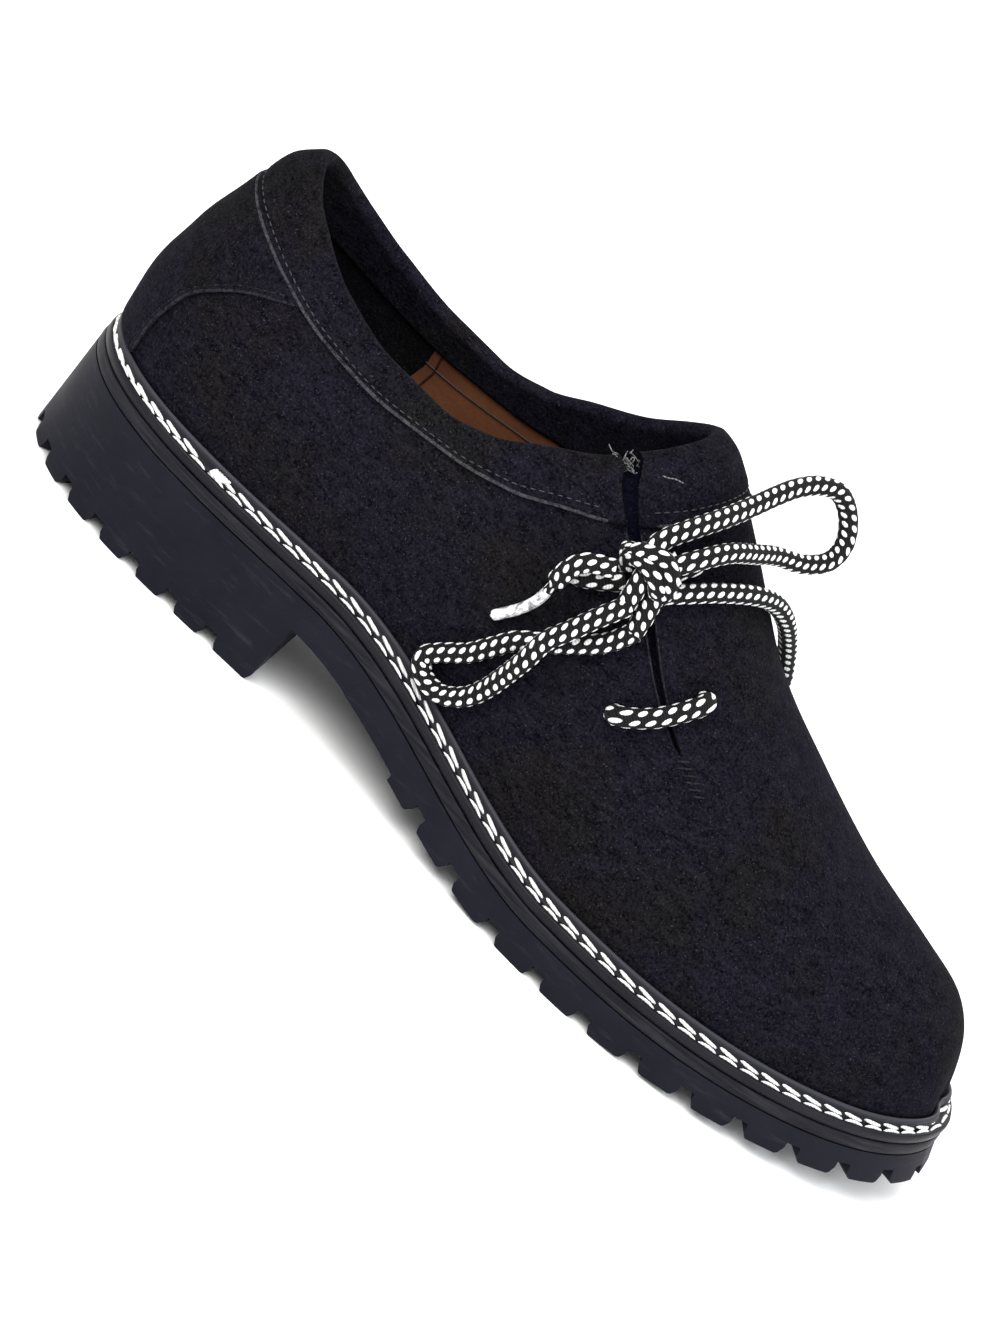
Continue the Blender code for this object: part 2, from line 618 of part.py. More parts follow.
def make_collar_band():
    """The band stitched around the topline."""
    ring, height_level = full_ring(np.linspace(BAND_LEVEL, 1.0, 3))
    return sheet("collar_band", ring, height_level, CLEARANCE + BAND_THICKNESS, CLEARANCE, "suede",
                 closed=True)


def make_heel_counter():
    """The piece sewn over the heel's back, from the welt to the collar band."""
    levels = np.linspace(WELT_LIP / BACK_HEIGHT + COUNTER_GAP, BAND_LEVEL - COUNTER_GAP, 9)
    reach = read_table(COUNTER, 1, levels)
    shares = np.linspace(-1.0, 1.0, 17)
    ring = reach[:, None] * shares[None, :]
    return sheet("heel_counter", ring, np.repeat(levels[:, None], len(shares), axis=1),
                 FACET_CLEARANCE + COUNTER_THICKNESS, FACET_CLEARANCE, "suede")


def make_tongue():
    """The gusset behind the slit, joined under the quarter and the vamp."""
    columns = 5
    levels = np.linspace(SLIT[-1][0] - TONGUE_BELOW_SLIT, TONGUE_TOP, 12)
    middle = read_table(SLIT, 1, levels)
    half = TONGUE_MARGIN / ring_span(middle, levels)
    ring = middle[:, None] + half[:, None] * np.linspace(-1.0, 1.0, columns)[None, :]
    depth = WALL + FACET_CLEARANCE
    return sheet("tongue", ring, np.repeat(levels[:, None], columns, axis=1), -depth,
                 -depth - TONGUE_THICKNESS, "gusset")


def foot(ring, height):
    """The upper's outside at a height over the seat, near the sole, and the way out from there."""
    levels = np.linspace(0.0, 0.25, 26)
    grid_ring, grid_level = np.meshgrid(ring, levels)
    grid = surface(grid_ring, grid_level)
    heights = grid[..., 2] - seat(grid[..., 0])
    at = np.array([np.interp(height, heights[:, i], levels) for i in range(len(ring))])
    return surface(ring, at), normals(ring, at)


def make_welt():
    """The stitched strip around the upper's foot, with a lip that stands up against the upper."""
    ring = np.arange(2 * RING_POINTS) / RING_POINTS
    x = EDGE.back + (EDGE.front - EDGE.back) * (1 - np.cos(np.pi * ring)) / 2
    edge = np.where(ring <= 1.0, EDGE.edge(x, -1), EDGE.edge(x, 1))

    def beside_upper(height, distance):
        point, out = foot(ring, height)
        return point + out * distance

    rows = np.stack((
        bend(x, edge, CLEARANCE), bend(x, edge, WELT_EDGE),
        beside_upper(WELT_EDGE + LEDGE_RISE, LIP_FOOT_WIDTH), beside_upper(WELT_LIP, LIP_TOP_WIDTH),
        beside_upper(WELT_LIP, FACET_CLEARANCE), beside_upper(2 * CLEARANCE, FACET_CLEARANCE),
    ), axis=1)
    count, size = rows.shape[:2]
    faces = []
    for i in range(count):
        here, there = size * i, size * ((i + 1) % count)
        for k in range(size):
            following = (k + 1) % size
            faces.append([there + k, there + following, here + following, here + k])
    return add_mesh("welt", rows.reshape(-1, 3), faces, "welt")


def along_upper(route):
    """Points over the upper from rows of place on the ring, level and lift."""
    ring, height_level, lift = np.array(route, float).T
    return offset_surface(ring, height_level, lift[:, None])


def smooth_path(points, spacing):
    """Evenly spaced points on a smooth curve through the given ones."""
    ends = np.vstack((2 * points[0] - points[1], points, 2 * points[-1] - points[-2]))
    t = np.linspace(0.0, 1.0, 16, endpoint=False)[:, None]
    dense = [points[-1:]]
    for a, b, c, d in reversed(list(zip(ends, ends[1:], ends[2:], ends[3:]))):
        bow = (2 * a - 5 * b + 4 * c - d) * t ** 2 + (3 * (b - c) + d - a) * t ** 3
        dense.insert(0, b + ((c - a) * t + bow) / 2)
    dense = np.concatenate(dense)
    arcs = np.concatenate(([0.0], np.cumsum(np.linalg.norm(np.diff(dense, axis=0), axis=1))))
    places = np.linspace(0.0, arcs[-1], int(arcs[-1] / spacing) + 1)
    return np.column_stack([np.interp(places, arcs, dense[:, i]) for i in range(3)])


def cord(name, points, width, slot):
    """A round cord through the given points, with flat ends."""
    curve = bpy.data.curves.new(name, "CURVE")
    curve.dimensions = "3D"
    curve.bevel_depth = width / 2
    curve.bevel_resolution = 2
    curve.use_fill_caps = True
    curve.materials.append(material_of(slot))
    spline = curve.splines.new("POLY")
    spline.points.add(len(points) - 1)
    for target, point in zip(spline.points, points):
        target.co = (*point, 1.0)
    piece = bpy.data.objects.new(name, curve)
    bpy.context.scene.collection.objects.link(piece)
    return piece


def surface_frame(ring, height_level):
    """A place on the upper: its point, and columns along the ring, up the levels and out."""
    out = normals(ring, height_level)
    step = 0.002
    around = surface(ring + step, height_level) - surface(ring - step, height_level)
    around = around / np.linalg.norm(around)
    return surface(ring, height_level), np.column_stack((around, np.cross(out, around), out))


def peg(name, ring, height_level, width, reach):
    """A round cutter that stands square in the upper's wall."""
    point, axes = surface_frame(ring, height_level)
    sides = 12
    turn = 2 * np.pi * np.arange(sides) / sides
    circle = np.column_stack((np.cos(turn), np.sin(turn), np.zeros(sides))) * width / 2
    points = np.concatenate([point + (circle + (0, 0, end)) @ axes.T for end in (-reach, reach)])
    faces = [list(range(sides))[::-1], list(range(sides, 2 * sides))]
    for i in range(sides):
        j = (i + 1) % sides
        faces.append([i, j, sides + j, sides + i])
    return add_mesh(name, points, faces, "suede")


def lace_stretch(start, end, lift):
    """Rows from the wall's middle at one hole to the next one's, over the upper or behind it."""
    start, end = np.array(start), np.array(end)
    span = np.linalg.norm(surface(*end) - surface(*start))
    turn = np.linspace(0.0, np.pi / 2, LACE_TURN_ROWS)
    away = LACE_TURN * (1 - np.cos(turn))
    rise = (abs(lift) - LACE_TURN + LACE_TURN * np.sin(turn)) * np.sign(lift)
    middle = np.linspace(LACE_TURN, span - LACE_TURN, 2 + int(span / LACE))[1:-1]
    along = np.concatenate(([0.0], away, middle, span - away[::-1])) / span
    lifts = np.concatenate(([-WALL / 2], rise, np.full(len(middle), lift), rise[::-1]))
    return [(*(start + (end - start) * a), h) for a, h in zip(along, lifts)]


def outside_knot(points):
    """The points that lie clear of the knot, up to where a cord's flat end just clears it."""
    centre, axes = surface_frame(*KNOT_PLACE)
    reach = np.array(KNOT_SIZE) / 2 + KNOT_MARGIN
    local = (points - centre) @ axes - (0, 0, KNOT_LIFT)
    return points[np.linalg.norm(local / reach, axis=1) > 1.0]


def make_knot():
    """The tied lump of the bow as one rounded solid."""
    centre, axes = surface_frame(*KNOT_PLACE)
    sides, bands = 12, 8
    turn = 2 * np.pi * np.arange(sides) / sides
    points = [(0, 0, -1)]
    for tilt in np.pi * (np.arange(1, bands) / bands - 0.5):
        points.extend((np.cos(tilt) * np.cos(a), np.cos(tilt) * np.sin(a), np.sin(tilt)) for a in turn)
    points.append((0, 0, 1))
    last = len(points) - 1
    faces = [[0, 1 + (i + 1) % sides, 1 + i] for i in range(sides)]
    for band in range(bands - 2):
        first = 1 + band * sides
        for i in range(sides):
            j = (i + 1) % sides
            faces.append([first + i, first + j, first + sides + j, first + sides + i])
    faces.extend([[last - sides + i, last - sides + (i + 1) % sides, last] for i in range(sides)])
    points = centre + axes[:, 2] * KNOT_LIFT + (np.array(points) * np.array(KNOT_SIZE) / 2) @ axes.T
    return add_mesh("lace_knot", points, faces, "lace")


def lace_root(hole):
    """Rows from beside the knot to an upper hole and down to the wall."""
    knot, hole = np.array(KNOT_PLACE), np.array(hole)
    span = np.linalg.norm(surface(*hole) - surface(*knot))
    start = knot + (hole - knot) * (KNOT_SIZE[0] / 2 + CLEARANCE) / span
    return [(*start, LACE_LIFT)] + lace_stretch(start, hole, LACE_LIFT)[LACE_TURN_ROWS + 1:]


def make_lace():
    """The lace from the knot in at one upper hole, across the slit, and out at the other upper hole."""
    behind = -(WALL + CLEARANCE * 2 + LACE / 2)
    quarter_high, quarter_low, vamp_low, vamp_high = LACE_HOLES
    rows = (lace_root(quarter_high) + lace_stretch(quarter_high, quarter_low, behind)
            + lace_stretch(quarter_low, vamp_low, LACE_LIFT) + lace_stretch(vamp_low, vamp_high, behind)
            + [(*vamp_high, -WALL / 2)] + lace_root(vamp_high)[::-1])
    return cord("lace", along_upper(rows), LACE, "lace")


def make_bow():
    """The knot, its two loops and its two ends with their tips."""
    make_knot()
    for name, route in (("lace_loop_low", LOW_LOOP), ("lace_loop_high", HIGH_LOOP)):
        path = outside_knot(smooth_path(along_upper(route), CLEARANCE))
        cord(name, np.vstack((path[:-CORD_STEP:CORD_STEP], path[-1])), LACE, "lace")
    for name, tip, route in (("lace_end_low", "aglet_low", LOW_END),
                             ("lace_end_high", "aglet_high", HIGH_END)):
        path = smooth_path(along_upper(route), CLEARANCE)
        join = len(path) - int(AGLET_LENGTH / CLEARANCE)
        cord(name, outside_knot(path[join::-CORD_STEP]), LACE, "lace")
        cord(tip, path[join + 1::CORD_STEP], AGLET, "aglet")


def clear_scene():
    """Start from nothing."""
    for piece in list(bpy.data.objects):
        bpy.data.objects.remove(piece, do_unlink=True)


def place_on_origin(pieces):
    """Move everything so that the middle of the sole's and upper's box is over the origin, on the floor."""
    corners = np.array([point.co for piece in pieces for point in piece.data.vertices])
    middle = (corners.min(0) + corners.max(0)) / 2
    for piece in bpy.data.objects:
        piece.location = (-middle[0], -middle[1], 0.0)


def main():
    """Build the shoe."""
    clear_scene()
    outsole, midsole, insole, welt = make_outsole(), make_midsole(), make_insole(), make_welt()
    upper, collar_band, heel_counter = make_upper(), make_collar_band(), make_heel_counter()
    make_tongue()
    slit = slit_cutter()
    cut(upper, slit)
    cut(collar_band, slit)
    for number, place in enumerate(LACE_HOLES):
        cut(upper, peg(f"lace_hole_cutter_{number}", *place, LACE_HOLE, 2 * WALL))
    make_lace()
    make_bow()
    place_on_origin((outsole, midsole, welt, upper, collar_band, heel_counter))


main()
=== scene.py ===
"""Looks of a right shoe in black suede, laced at the side, on a white-stitched welt and a lugged sole.

Units are metres. Shapes are worked out from the back of the sole, +X to the toe and -Y to the outer side,
and then moved to the frame's origin. The upper is addressed by its ring (0 at the heel's back, 1 at the
front, 2 at the heel again) and its level (0 at the sole, 1 at the topline).
"""

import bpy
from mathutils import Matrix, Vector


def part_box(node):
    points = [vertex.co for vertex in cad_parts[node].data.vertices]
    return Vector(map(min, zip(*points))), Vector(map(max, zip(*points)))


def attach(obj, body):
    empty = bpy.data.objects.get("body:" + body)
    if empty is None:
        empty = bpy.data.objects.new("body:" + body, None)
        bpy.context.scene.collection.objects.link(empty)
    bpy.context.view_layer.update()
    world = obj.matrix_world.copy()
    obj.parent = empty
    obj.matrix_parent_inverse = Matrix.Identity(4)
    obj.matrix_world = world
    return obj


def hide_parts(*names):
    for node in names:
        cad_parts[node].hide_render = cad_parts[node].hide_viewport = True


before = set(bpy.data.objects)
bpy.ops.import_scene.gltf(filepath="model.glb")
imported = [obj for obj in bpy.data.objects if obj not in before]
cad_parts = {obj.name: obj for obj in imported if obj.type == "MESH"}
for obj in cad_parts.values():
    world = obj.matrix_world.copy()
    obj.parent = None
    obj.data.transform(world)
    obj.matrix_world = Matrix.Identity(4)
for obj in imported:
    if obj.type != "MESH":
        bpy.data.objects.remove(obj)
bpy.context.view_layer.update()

import bpy
import numpy as np
from mathutils import Matrix, Vector

# Sole
LENGTH = 0.300
BALL_WIDTH = 0.106
HEEL_SEAT = 0.0322
HEEL_LENGTH = 0.0895
HEEL_TAPER = 0.0012
MIDSOLE_THICKNESS = 0.0038
OUTSOLE_THICKNESS = 0.0064
ARCH_THICKNESS = 0.0086
LUG_DEPTH = 0.0040
BALL_START = 0.186
BALL_END = 0.204
TOE_SPRING = 0.0068
TOE_THINNING = 0.0022
TOE_FLARE = 0.0021
TREAD_START = 0.137
LUG_REACH = 0.0165
# The lugs' rounded corners: height over the floor and slope of each of their two facets
LUG_ROUNDING = ((0.0022, 0.45), (0.0009, 1.60))
BELOW_SOLE = 0.004
FIELD_ROOT = 0.0005
LUG_OVERLAP = 0.001
EDGE_ROUNDING = 0.0007
NOTCH_WIDTH = 0.0040
NOTCH_FLARE = 0.0012
NOTCH_PITCH = 0.0157
HEEL_NOTCH_PITCH = 0.0137
FIRST_HEEL_NOTCH = 0.0150
CENTRE_LUG_LENGTH = 0.0085
CENTRE_LUG_WIDTH = 0.0260
CENTRE_LUG_PITCH = 0.0157

# Welt and insole
WELT_WIDTH = 0.0060
HEEL_WELT_WIDTH = 0.0045
WELT_EDGE = 0.0028
WELT_LIP = 0.0062
INSOLE_THICKNESS = 0.0030

# Upper
WALL = 0.0020
BACK_HEIGHT = 0.0728
QUARTER_HEIGHT = 0.0550
THROAT_HEIGHT = 0.0992
HEEL_BULGE = 0.0048
SIDE_BULGE = 0.0030
TOE_BULGE = 0.0018
BAND_THICKNESS = 0.0009
COUNTER_THICKNESS = 0.0009
TONGUE_THICKNESS = 0.0016
TONGUE_MARGIN = 0.0070
SLIT_WIDTH = 0.0050
SLIT_END_WIDTH = 0.0026
CLEARANCE = 0.0003
FACET_CLEARANCE = 0.0007

# Lace
LACE = 0.0052
LACE_TURN = 0.0030
LACE_LIFT = 0.0033
LACE_STEP = 0.0006
LACE_SIDES = 24
FLECK_RISE = 0.00026
AGLET = 0.0030
AGLET_LENGTH = 0.0200
DOT_PITCH = 0.0030
DOTS_AROUND = 6
BAR_DOT_PITCH = 0.0038
BAR_TURN = 0.5 / DOTS_AROUND

# The sole's edge: share of the length, share of the ball's width
OUTLINE = (
    (0.000, 0.000), (0.035, -0.215), (0.130, -0.335), (0.300, -0.358), (0.460, -0.410), (0.620, -0.492),
    (0.760, -0.484), (0.880, -0.377), (0.967, -0.190), (1.000, 0.060), (0.965, 0.290), (0.880, 0.430),
    (0.740, 0.500), (0.600, 0.440), (0.440, 0.335), (0.280, 0.325), (0.120, 0.325), (0.035, 0.215),
)
# The last's ridge from toe to heel: share of its length, share of the throat's height
RIDGE = (
    (1.000, 0.000), (0.994, 0.110), (0.977, 0.232), (0.943, 0.330), (0.890, 0.385), (0.821, 0.444),
    (0.716, 0.584), (0.636, 0.711), (0.587, 0.815), (0.535, 0.912), (0.490, 0.979), (0.458, 1.000),
    (0.360, 0.935), (0.220, 0.865), (0.082, 0.855), (0.000, 0.930),
)
THROAT_ROW = 11
# The topline: place, share of the back's rise, share of the throat's rise
TOPLINE = (
    (0.000, 1.00, 0.00), (0.064, 0.81, 0.00), (0.178, 0.48, 0.00), (0.292, 0.20, 0.00),
    (0.460, 0.00, 0.00), (0.581, 0.00, 0.00), (0.688, 0.00, 0.086), (0.779, 0.00, 0.283),
    (0.871, 0.00, 0.510), (0.939, 0.00, 0.756), (1.000, 0.00, 1.00),
)
# The back: share of its height, share of the heel's bulge
BACK_CURVE = (
    (0.00, 0.00), (0.12, -0.66), (0.33, -1.00), (0.51, -0.70), (0.75, 0.10), (0.92, 0.80), (1.00, 1.70),
)
# Cross-sections: place, roundness, share of the bulge on the outer and on the inner side
SECTIONS = (
    (0.00, 2.00, 1.00, 1.00), (0.20, 2.00, 1.15, 1.00), (0.40, 2.25, 0.40, 0.10), (0.46, 2.40, 0.50, 0.20),
    (0.65, 2.10, 1.00, 0.50), (0.85, 2.30, 0.85, 0.65), (1.00, 2.40, 0.50, 0.50),
)
# The upper's front: level, share of the way up the ridge
FRONT = (
    (0.00, 0.000), (0.10, 0.067), (0.20, 0.155), (0.35, 0.320), (0.50, 0.520), (0.65, 0.730), (0.80, 0.915),
    (1.00, 1.000),
)
BAND_LEVEL = 0.80
# The slit's middle and the heel piece's edge: level, place on the ring
SLIT = ((1.02, 0.806), (0.90, 0.786), (0.80, 0.781), (0.70, 0.788), (0.60, 0.796), (0.56, 0.797))
SLIT_END, SLIT_END_RING = SLIT[-1]
COUNTER = ((0.00, 0.118), (0.12, 0.120), (0.41, 0.150), (0.60, 0.210), (0.80, 0.315))
COUNTER_FOOT = WELT_LIP / BACK_HEIGHT
COUNTER_LIFT = FACET_CLEARANCE + COUNTER_THICKNESS
BAND_LIFT = CLEARANCE + BAND_THICKNESS
# The lace's holes and knot: place on the ring, level
LACE_HOLES = ((0.697, 0.715), (0.727, 0.585), (0.850, 0.622), (0.862, 0.752))
KNOT_PLACE = (0.772, 0.733)
# The bow's loops and ends: place on the ring, level, lift
LOW_LOOP = (
    (0.762, 0.708, 0.0080), (0.725, 0.686, 0.0098), (0.690, 0.657, 0.0102), (0.662, 0.628, 0.0098),
    (0.632, 0.584, 0.0088), (0.592, 0.520, 0.0062), (0.540, 0.410, 0.0040), (0.490, 0.265, 0.0034),
    (0.462, 0.165, 0.0033), (0.446, 0.140, 0.0033), (0.442, 0.185, 0.0033), (0.462, 0.270, 0.0033),
    (0.510, 0.400, 0.0033), (0.560, 0.505, 0.0033), (0.610, 0.580, 0.0033), (0.650, 0.615, 0.0033),
    (0.690, 0.640, 0.0033), (0.730, 0.662, 0.0036), (0.768, 0.685, 0.0050),
)
HIGH_LOOP = (
    (0.785, 0.755, 0.0085), (0.810, 0.780, 0.0090), (0.850, 0.795, 0.0080), (0.900, 0.806, 0.0066),
    (0.950, 0.812, 0.0066), (0.990, 0.815, 0.0092), (1.020, 0.812, 0.0135), (1.042, 0.797, 0.0190),
    (1.054, 0.775, 0.0235), (1.060, 0.745, 0.0245), (1.060, 0.722, 0.0222), (1.052, 0.712, 0.0170),
    (1.030, 0.720, 0.0105), (0.990, 0.738, 0.0062), (0.940, 0.750, 0.0056), (0.890, 0.760, 0.0080),
    (0.845, 0.757, 0.0098), (0.810, 0.748, 0.0092),
)
LOW_END = (
    (0.752, 0.740, 0.0090), (0.720, 0.736, 0.0096), (0.695, 0.720, 0.0090), (0.670, 0.692, 0.0070),
    (0.648, 0.664, 0.0050), (0.620, 0.630, 0.0032), (0.590, 0.592, 0.0025), (0.565, 0.556, 0.0022),
)
HIGH_END = (
    (0.790, 0.722, 0.0055), (0.830, 0.724, 0.0044), (0.880, 0.722, 0.0034), (0.940, 0.712, 0.0034),
    (0.990, 0.696, 0.0034), (1.035, 0.672, 0.0034), (1.080, 0.640, 0.0034), (1.125, 0.600, 0.0033),
    (1.165, 0.560, 0.0030), (1.205, 0.515, 0.0025), (1.240, 0.470, 0.0022),
)
# The knot's turns over the bow's middle: place on the ring, level, lift
KNOT_TURNS = (
    ((0.768, 0.748, 0.0030), (0.772, 0.758, 0.0062), (0.784, 0.764, 0.0092), (0.799, 0.763, 0.0110),
     (0.810, 0.754, 0.0116), (0.812, 0.742, 0.0112), (0.809, 0.731, 0.0088), (0.802, 0.721, 0.0044)),
    ((0.770, 0.764, 0.0040), (0.778, 0.760, 0.0082), (0.787, 0.752, 0.0102), (0.793, 0.743, 0.0108),
     (0.797, 0.734, 0.0100), (0.797, 0.725, 0.0072), (0.793, 0.716, 0.0036)),
    ((0.756, 0.705, 0.0078), (0.770, 0.722, 0.0080), (0.782, 0.738, 0.0076), (0.797, 0.750, 0.0070),
     (0.814, 0.752, 0.0068), (0.828, 0.758, 0.0074)),
    ((0.764, 0.683, 0.0050), (0.778, 0.700, 0.0056), (0.792, 0.718, 0.0056), (0.808, 0.732, 0.0054),
     (0.824, 0.738, 0.0048)),
)

# The lining: its facing's lower edge, its gap to the slit, and its seam as places on the ring with levels
FACING_LEVEL = 0.785
LINING_GAP = 0.034
LINING_SEAM = (
    (1.588, 0.688), (1.530, 0.706), (1.485, 0.718), (1.430, 0.736), (1.365, 0.752), (1.290, 0.762),
)

# Camera: it keeps the photo's angle to the shoe and its roll, and takes in the whole shoe
CAMERA_YAW = np.radians(0.68)
CAMERA_ELEVATION = np.radians(24.16)
CAMERA_ROLL = np.radians(42.54)
CAMERA_DISTANCE = 1.620
CAMERA_TARGET = (0.150, 0.0, 0.045)
CAMERA_LENS = 170.0
CAMERA_SHIFT = (-0.0525, 0.0110)

RING_COLUMNS = 420
STATIONS = 160
BAND_COLUMNS = 520


def unit(vectors):
    """Vectors brought to a length of 1."""
    return vectors / np.linalg.norm(vectors, axis=-1, keepdims=True)


def stack(*coordinates):
    """Points from their coordinates, each stretched to the same grid."""
    return np.stack(np.broadcast_arrays(*coordinates), axis=-1)


def arc_lengths(points):
    """Distance along a row of points to each of them."""
    return np.concatenate(([0.0], np.cumsum(np.linalg.norm(np.diff(points, axis=0), axis=1))))


def at_arcs(points, arcs, places):
    """The points at distances along a row of points."""
    return np.column_stack([np.interp(places, arcs, column) for column in points.T])


def inward(along):
    """The way into an outline, square to the way along it."""
    return np.stack((-along[..., 1], along[..., 0]), axis=-1)


def ease(value):
    """Rise smoothly from 0 to 1 while the value goes from 0 to 1."""
    value = np.clip(value, 0.0, 1.0)
    return value * value * (3.0 - 2.0 * value)


def read_table(rows, column, at):
    """Read a column of a table along its first column, on a curve that never overshoots the rows."""
    table = np.array(rows, float)
    table = table[np.argsort(table[:, 0])]
    places, values = table[:, 0], table[:, column]
    slopes = np.diff(values) / np.diff(places)
    before, after = slopes[:-1], slopes[1:]
    same_way = before * after > 0
    middle = np.where(same_way, 2 * before * after / np.where(same_way, before + after, 1), 0)
    tangents = np.concatenate(([slopes[0]], middle, [slopes[-1]]))
    at = np.clip(at, places[0], places[-1])
    row = np.clip(np.searchsorted(places, at, side="right") - 1, 0, len(places) - 2)
    span = places[row + 1] - places[row]
    t = (at - places[row]) / span
    return ((2 * t ** 3 - 3 * t ** 2 + 1) * values[row] + (t ** 3 - 2 * t ** 2 + t) * span * tangents[row]
            + (3 * t ** 2 - 2 * t ** 3) * values[row + 1] + (t ** 3 - t ** 2) * span * tangents[row + 1])


def closed_spline(points, count):
    """Points on the smooth closed curve through the given ones."""
    size = len(points)
    steps = np.linalg.norm(np.roll(points, -1, 0) - points, axis=1) ** 0.7
    matrix = np.zeros((size, size))
    for i in range(size):
        matrix[i, i - 1] += steps[i - 1]
        matrix[i, i] += 2 * (steps[i - 1] + steps[i])
        matrix[i, (i + 1) % size] += steps[i]
    slopes = (np.roll(points, -1, 0) - points) / steps[:, None]
    curvature = np.linalg.solve(matrix, 6 * (slopes - np.roll(slopes, 1, 0)))
    knots = np.concatenate(([0.0], np.cumsum(steps)))
    places = np.linspace(0.0, knots[-1], count, endpoint=False)
    i = np.searchsorted(knots, places, side="right") - 1
    j = (i + 1) % size
    b = ((places - knots[i]) / steps[i])[:, None]
    a = 1.0 - b
    bow = ((a ** 3 - a) * curvature[i] + (b ** 3 - b) * curvature[j]) * steps[i][:, None] ** 2 / 6
    return a * points[i] + b * points[j] + bow


class Outline:
    """A closed outline seen from above, with its outer (-1) and inner (+1) edge."""

    def __init__(self, curve):
        self.curve = np.roll(curve, -curve[:, 0].argmin(), 0)
        self.toe = self.curve[:, 0].argmax()
        self.sides = {-1: self.curve[:self.toe + 1],
                      1: np.vstack((self.curve[self.toe:], self.curve[:1]))[::-1]}
        self.back, self.front = self.curve[0, 0], self.curve[self.toe, 0]
        self.tip = self.curve[self.toe, 1]
        self.arcs = arc_lengths(self.curve)

    def edge(self, x, side):
        """How far out the edge lies at a distance from the back."""
        return np.interp(x, *self.sides[side].T)

    def inset(self, distance):
        """The outline a distance further in, the same all round or one for each of its points."""
        along = unit(np.roll(self.curve, -1, 0) - np.roll(self.curve, 1, 0))
        return Outline(self.curve + inward(along) * distance)

    def rungs(self, start, end):
        """Places from one distance to another, closer at both ends, with the outline's two edges there."""
        shares = (1 - np.cos(np.pi * (np.arange(STATIONS) + 0.5) / STATIONS)) / 2
        xs = start + (end - start) * shares
        return xs, self.edge(xs, -1), self.edge(xs, 1)

    def walk(self, start, end, pitch):
        """Places a pitch apart between two distances along the outline, each with its direction."""
        places = np.arange(start, end, pitch)
        here, ahead = (at_arcs(self.curve, self.arcs, places + step) for step in (0.0, 0.001))
        return list(zip(here, unit(ahead - here)))

    def arc_at(self, x, side):
        """Distance along the outline to a place on one of its edges."""
        part = slice(None, self.toe) if side < 0 else slice(self.toe, None)
        return np.interp(-side * x, -side * self.curve[part, 0], self.arcs[part])


EDGE = Outline(closed_spline(np.array(OUTLINE) * (LENGTH, BALL_WIDTH), 720))
HEEL_SHARE = np.clip(EDGE.curve[:, :1] / HEEL_LENGTH, 0.0, 1.0)
FEATHER = EDGE.inset(HEEL_WELT_WIDTH + (WELT_WIDTH - HEEL_WELT_WIDTH) * HEEL_SHARE)
FORE_SEAT = MIDSOLE_THICKNESS + OUTSOLE_THICKNESS + LUG_DEPTH
SOLE_BASE = -(MIDSOLE_THICKNESS + OUTSOLE_THICKNESS)
WELT_BOX = [np.array(corner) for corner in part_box("welt")]
SHIFT = np.append((WELT_BOX[0] + WELT_BOX[1])[:2] / 2 - (EDGE.curve.min(0) + EDGE.curve.max(0)) / 2, 0.0)


def toe_share(x):
    """How far a place lies from the ball to the toe tip."""
    return np.clip((x - BALL_END) / (LENGTH - BALL_END), 0.0, 1.0)


def seat(x):
    """Height of the midsole's top: level at the heel, down the arch, flat at the ball, up to the toe."""
    drop = ease((x - HEEL_LENGTH) / (BALL_START - HEEL_LENGTH))
    return HEEL_SEAT + (FORE_SEAT - HEEL_SEAT) * drop + TOE_SPRING * toe_share(x) ** 2


def bend(x, y, height):
    """A point at a height over the seat line and square to it, as the sole's layers lie."""
    step = 0.0005
    slope = (seat(x + step) - seat(x - step)) / (2 * step)
    reach = np.sqrt(1 + slope ** 2)
    return stack(x - height * slope / reach, y, seat(x) + height / reach)


def ridge_curve():
    """The last's ridge from toe to heel as dense points, with the way along it up to the throat."""
    rows = np.array(RIDGE)
    numbered = np.column_stack((np.arange(len(rows)), rows))
    places = np.linspace(0, len(rows) - 1, 40 * len(rows))
    xs = FEATHER.back + (FEATHER.front - FEATHER.back) * read_table(numbered, 1, places)
    heights = THROAT_HEIGHT * read_table(numbered, 2, places)
    arcs = arc_lengths(np.column_stack((xs, heights)))
    return xs, heights, arcs / np.interp(THROAT_ROW, places, arcs)


RIDGE_X, RIDGE_HEIGHT, RIDGE_SHARE = ridge_curve()


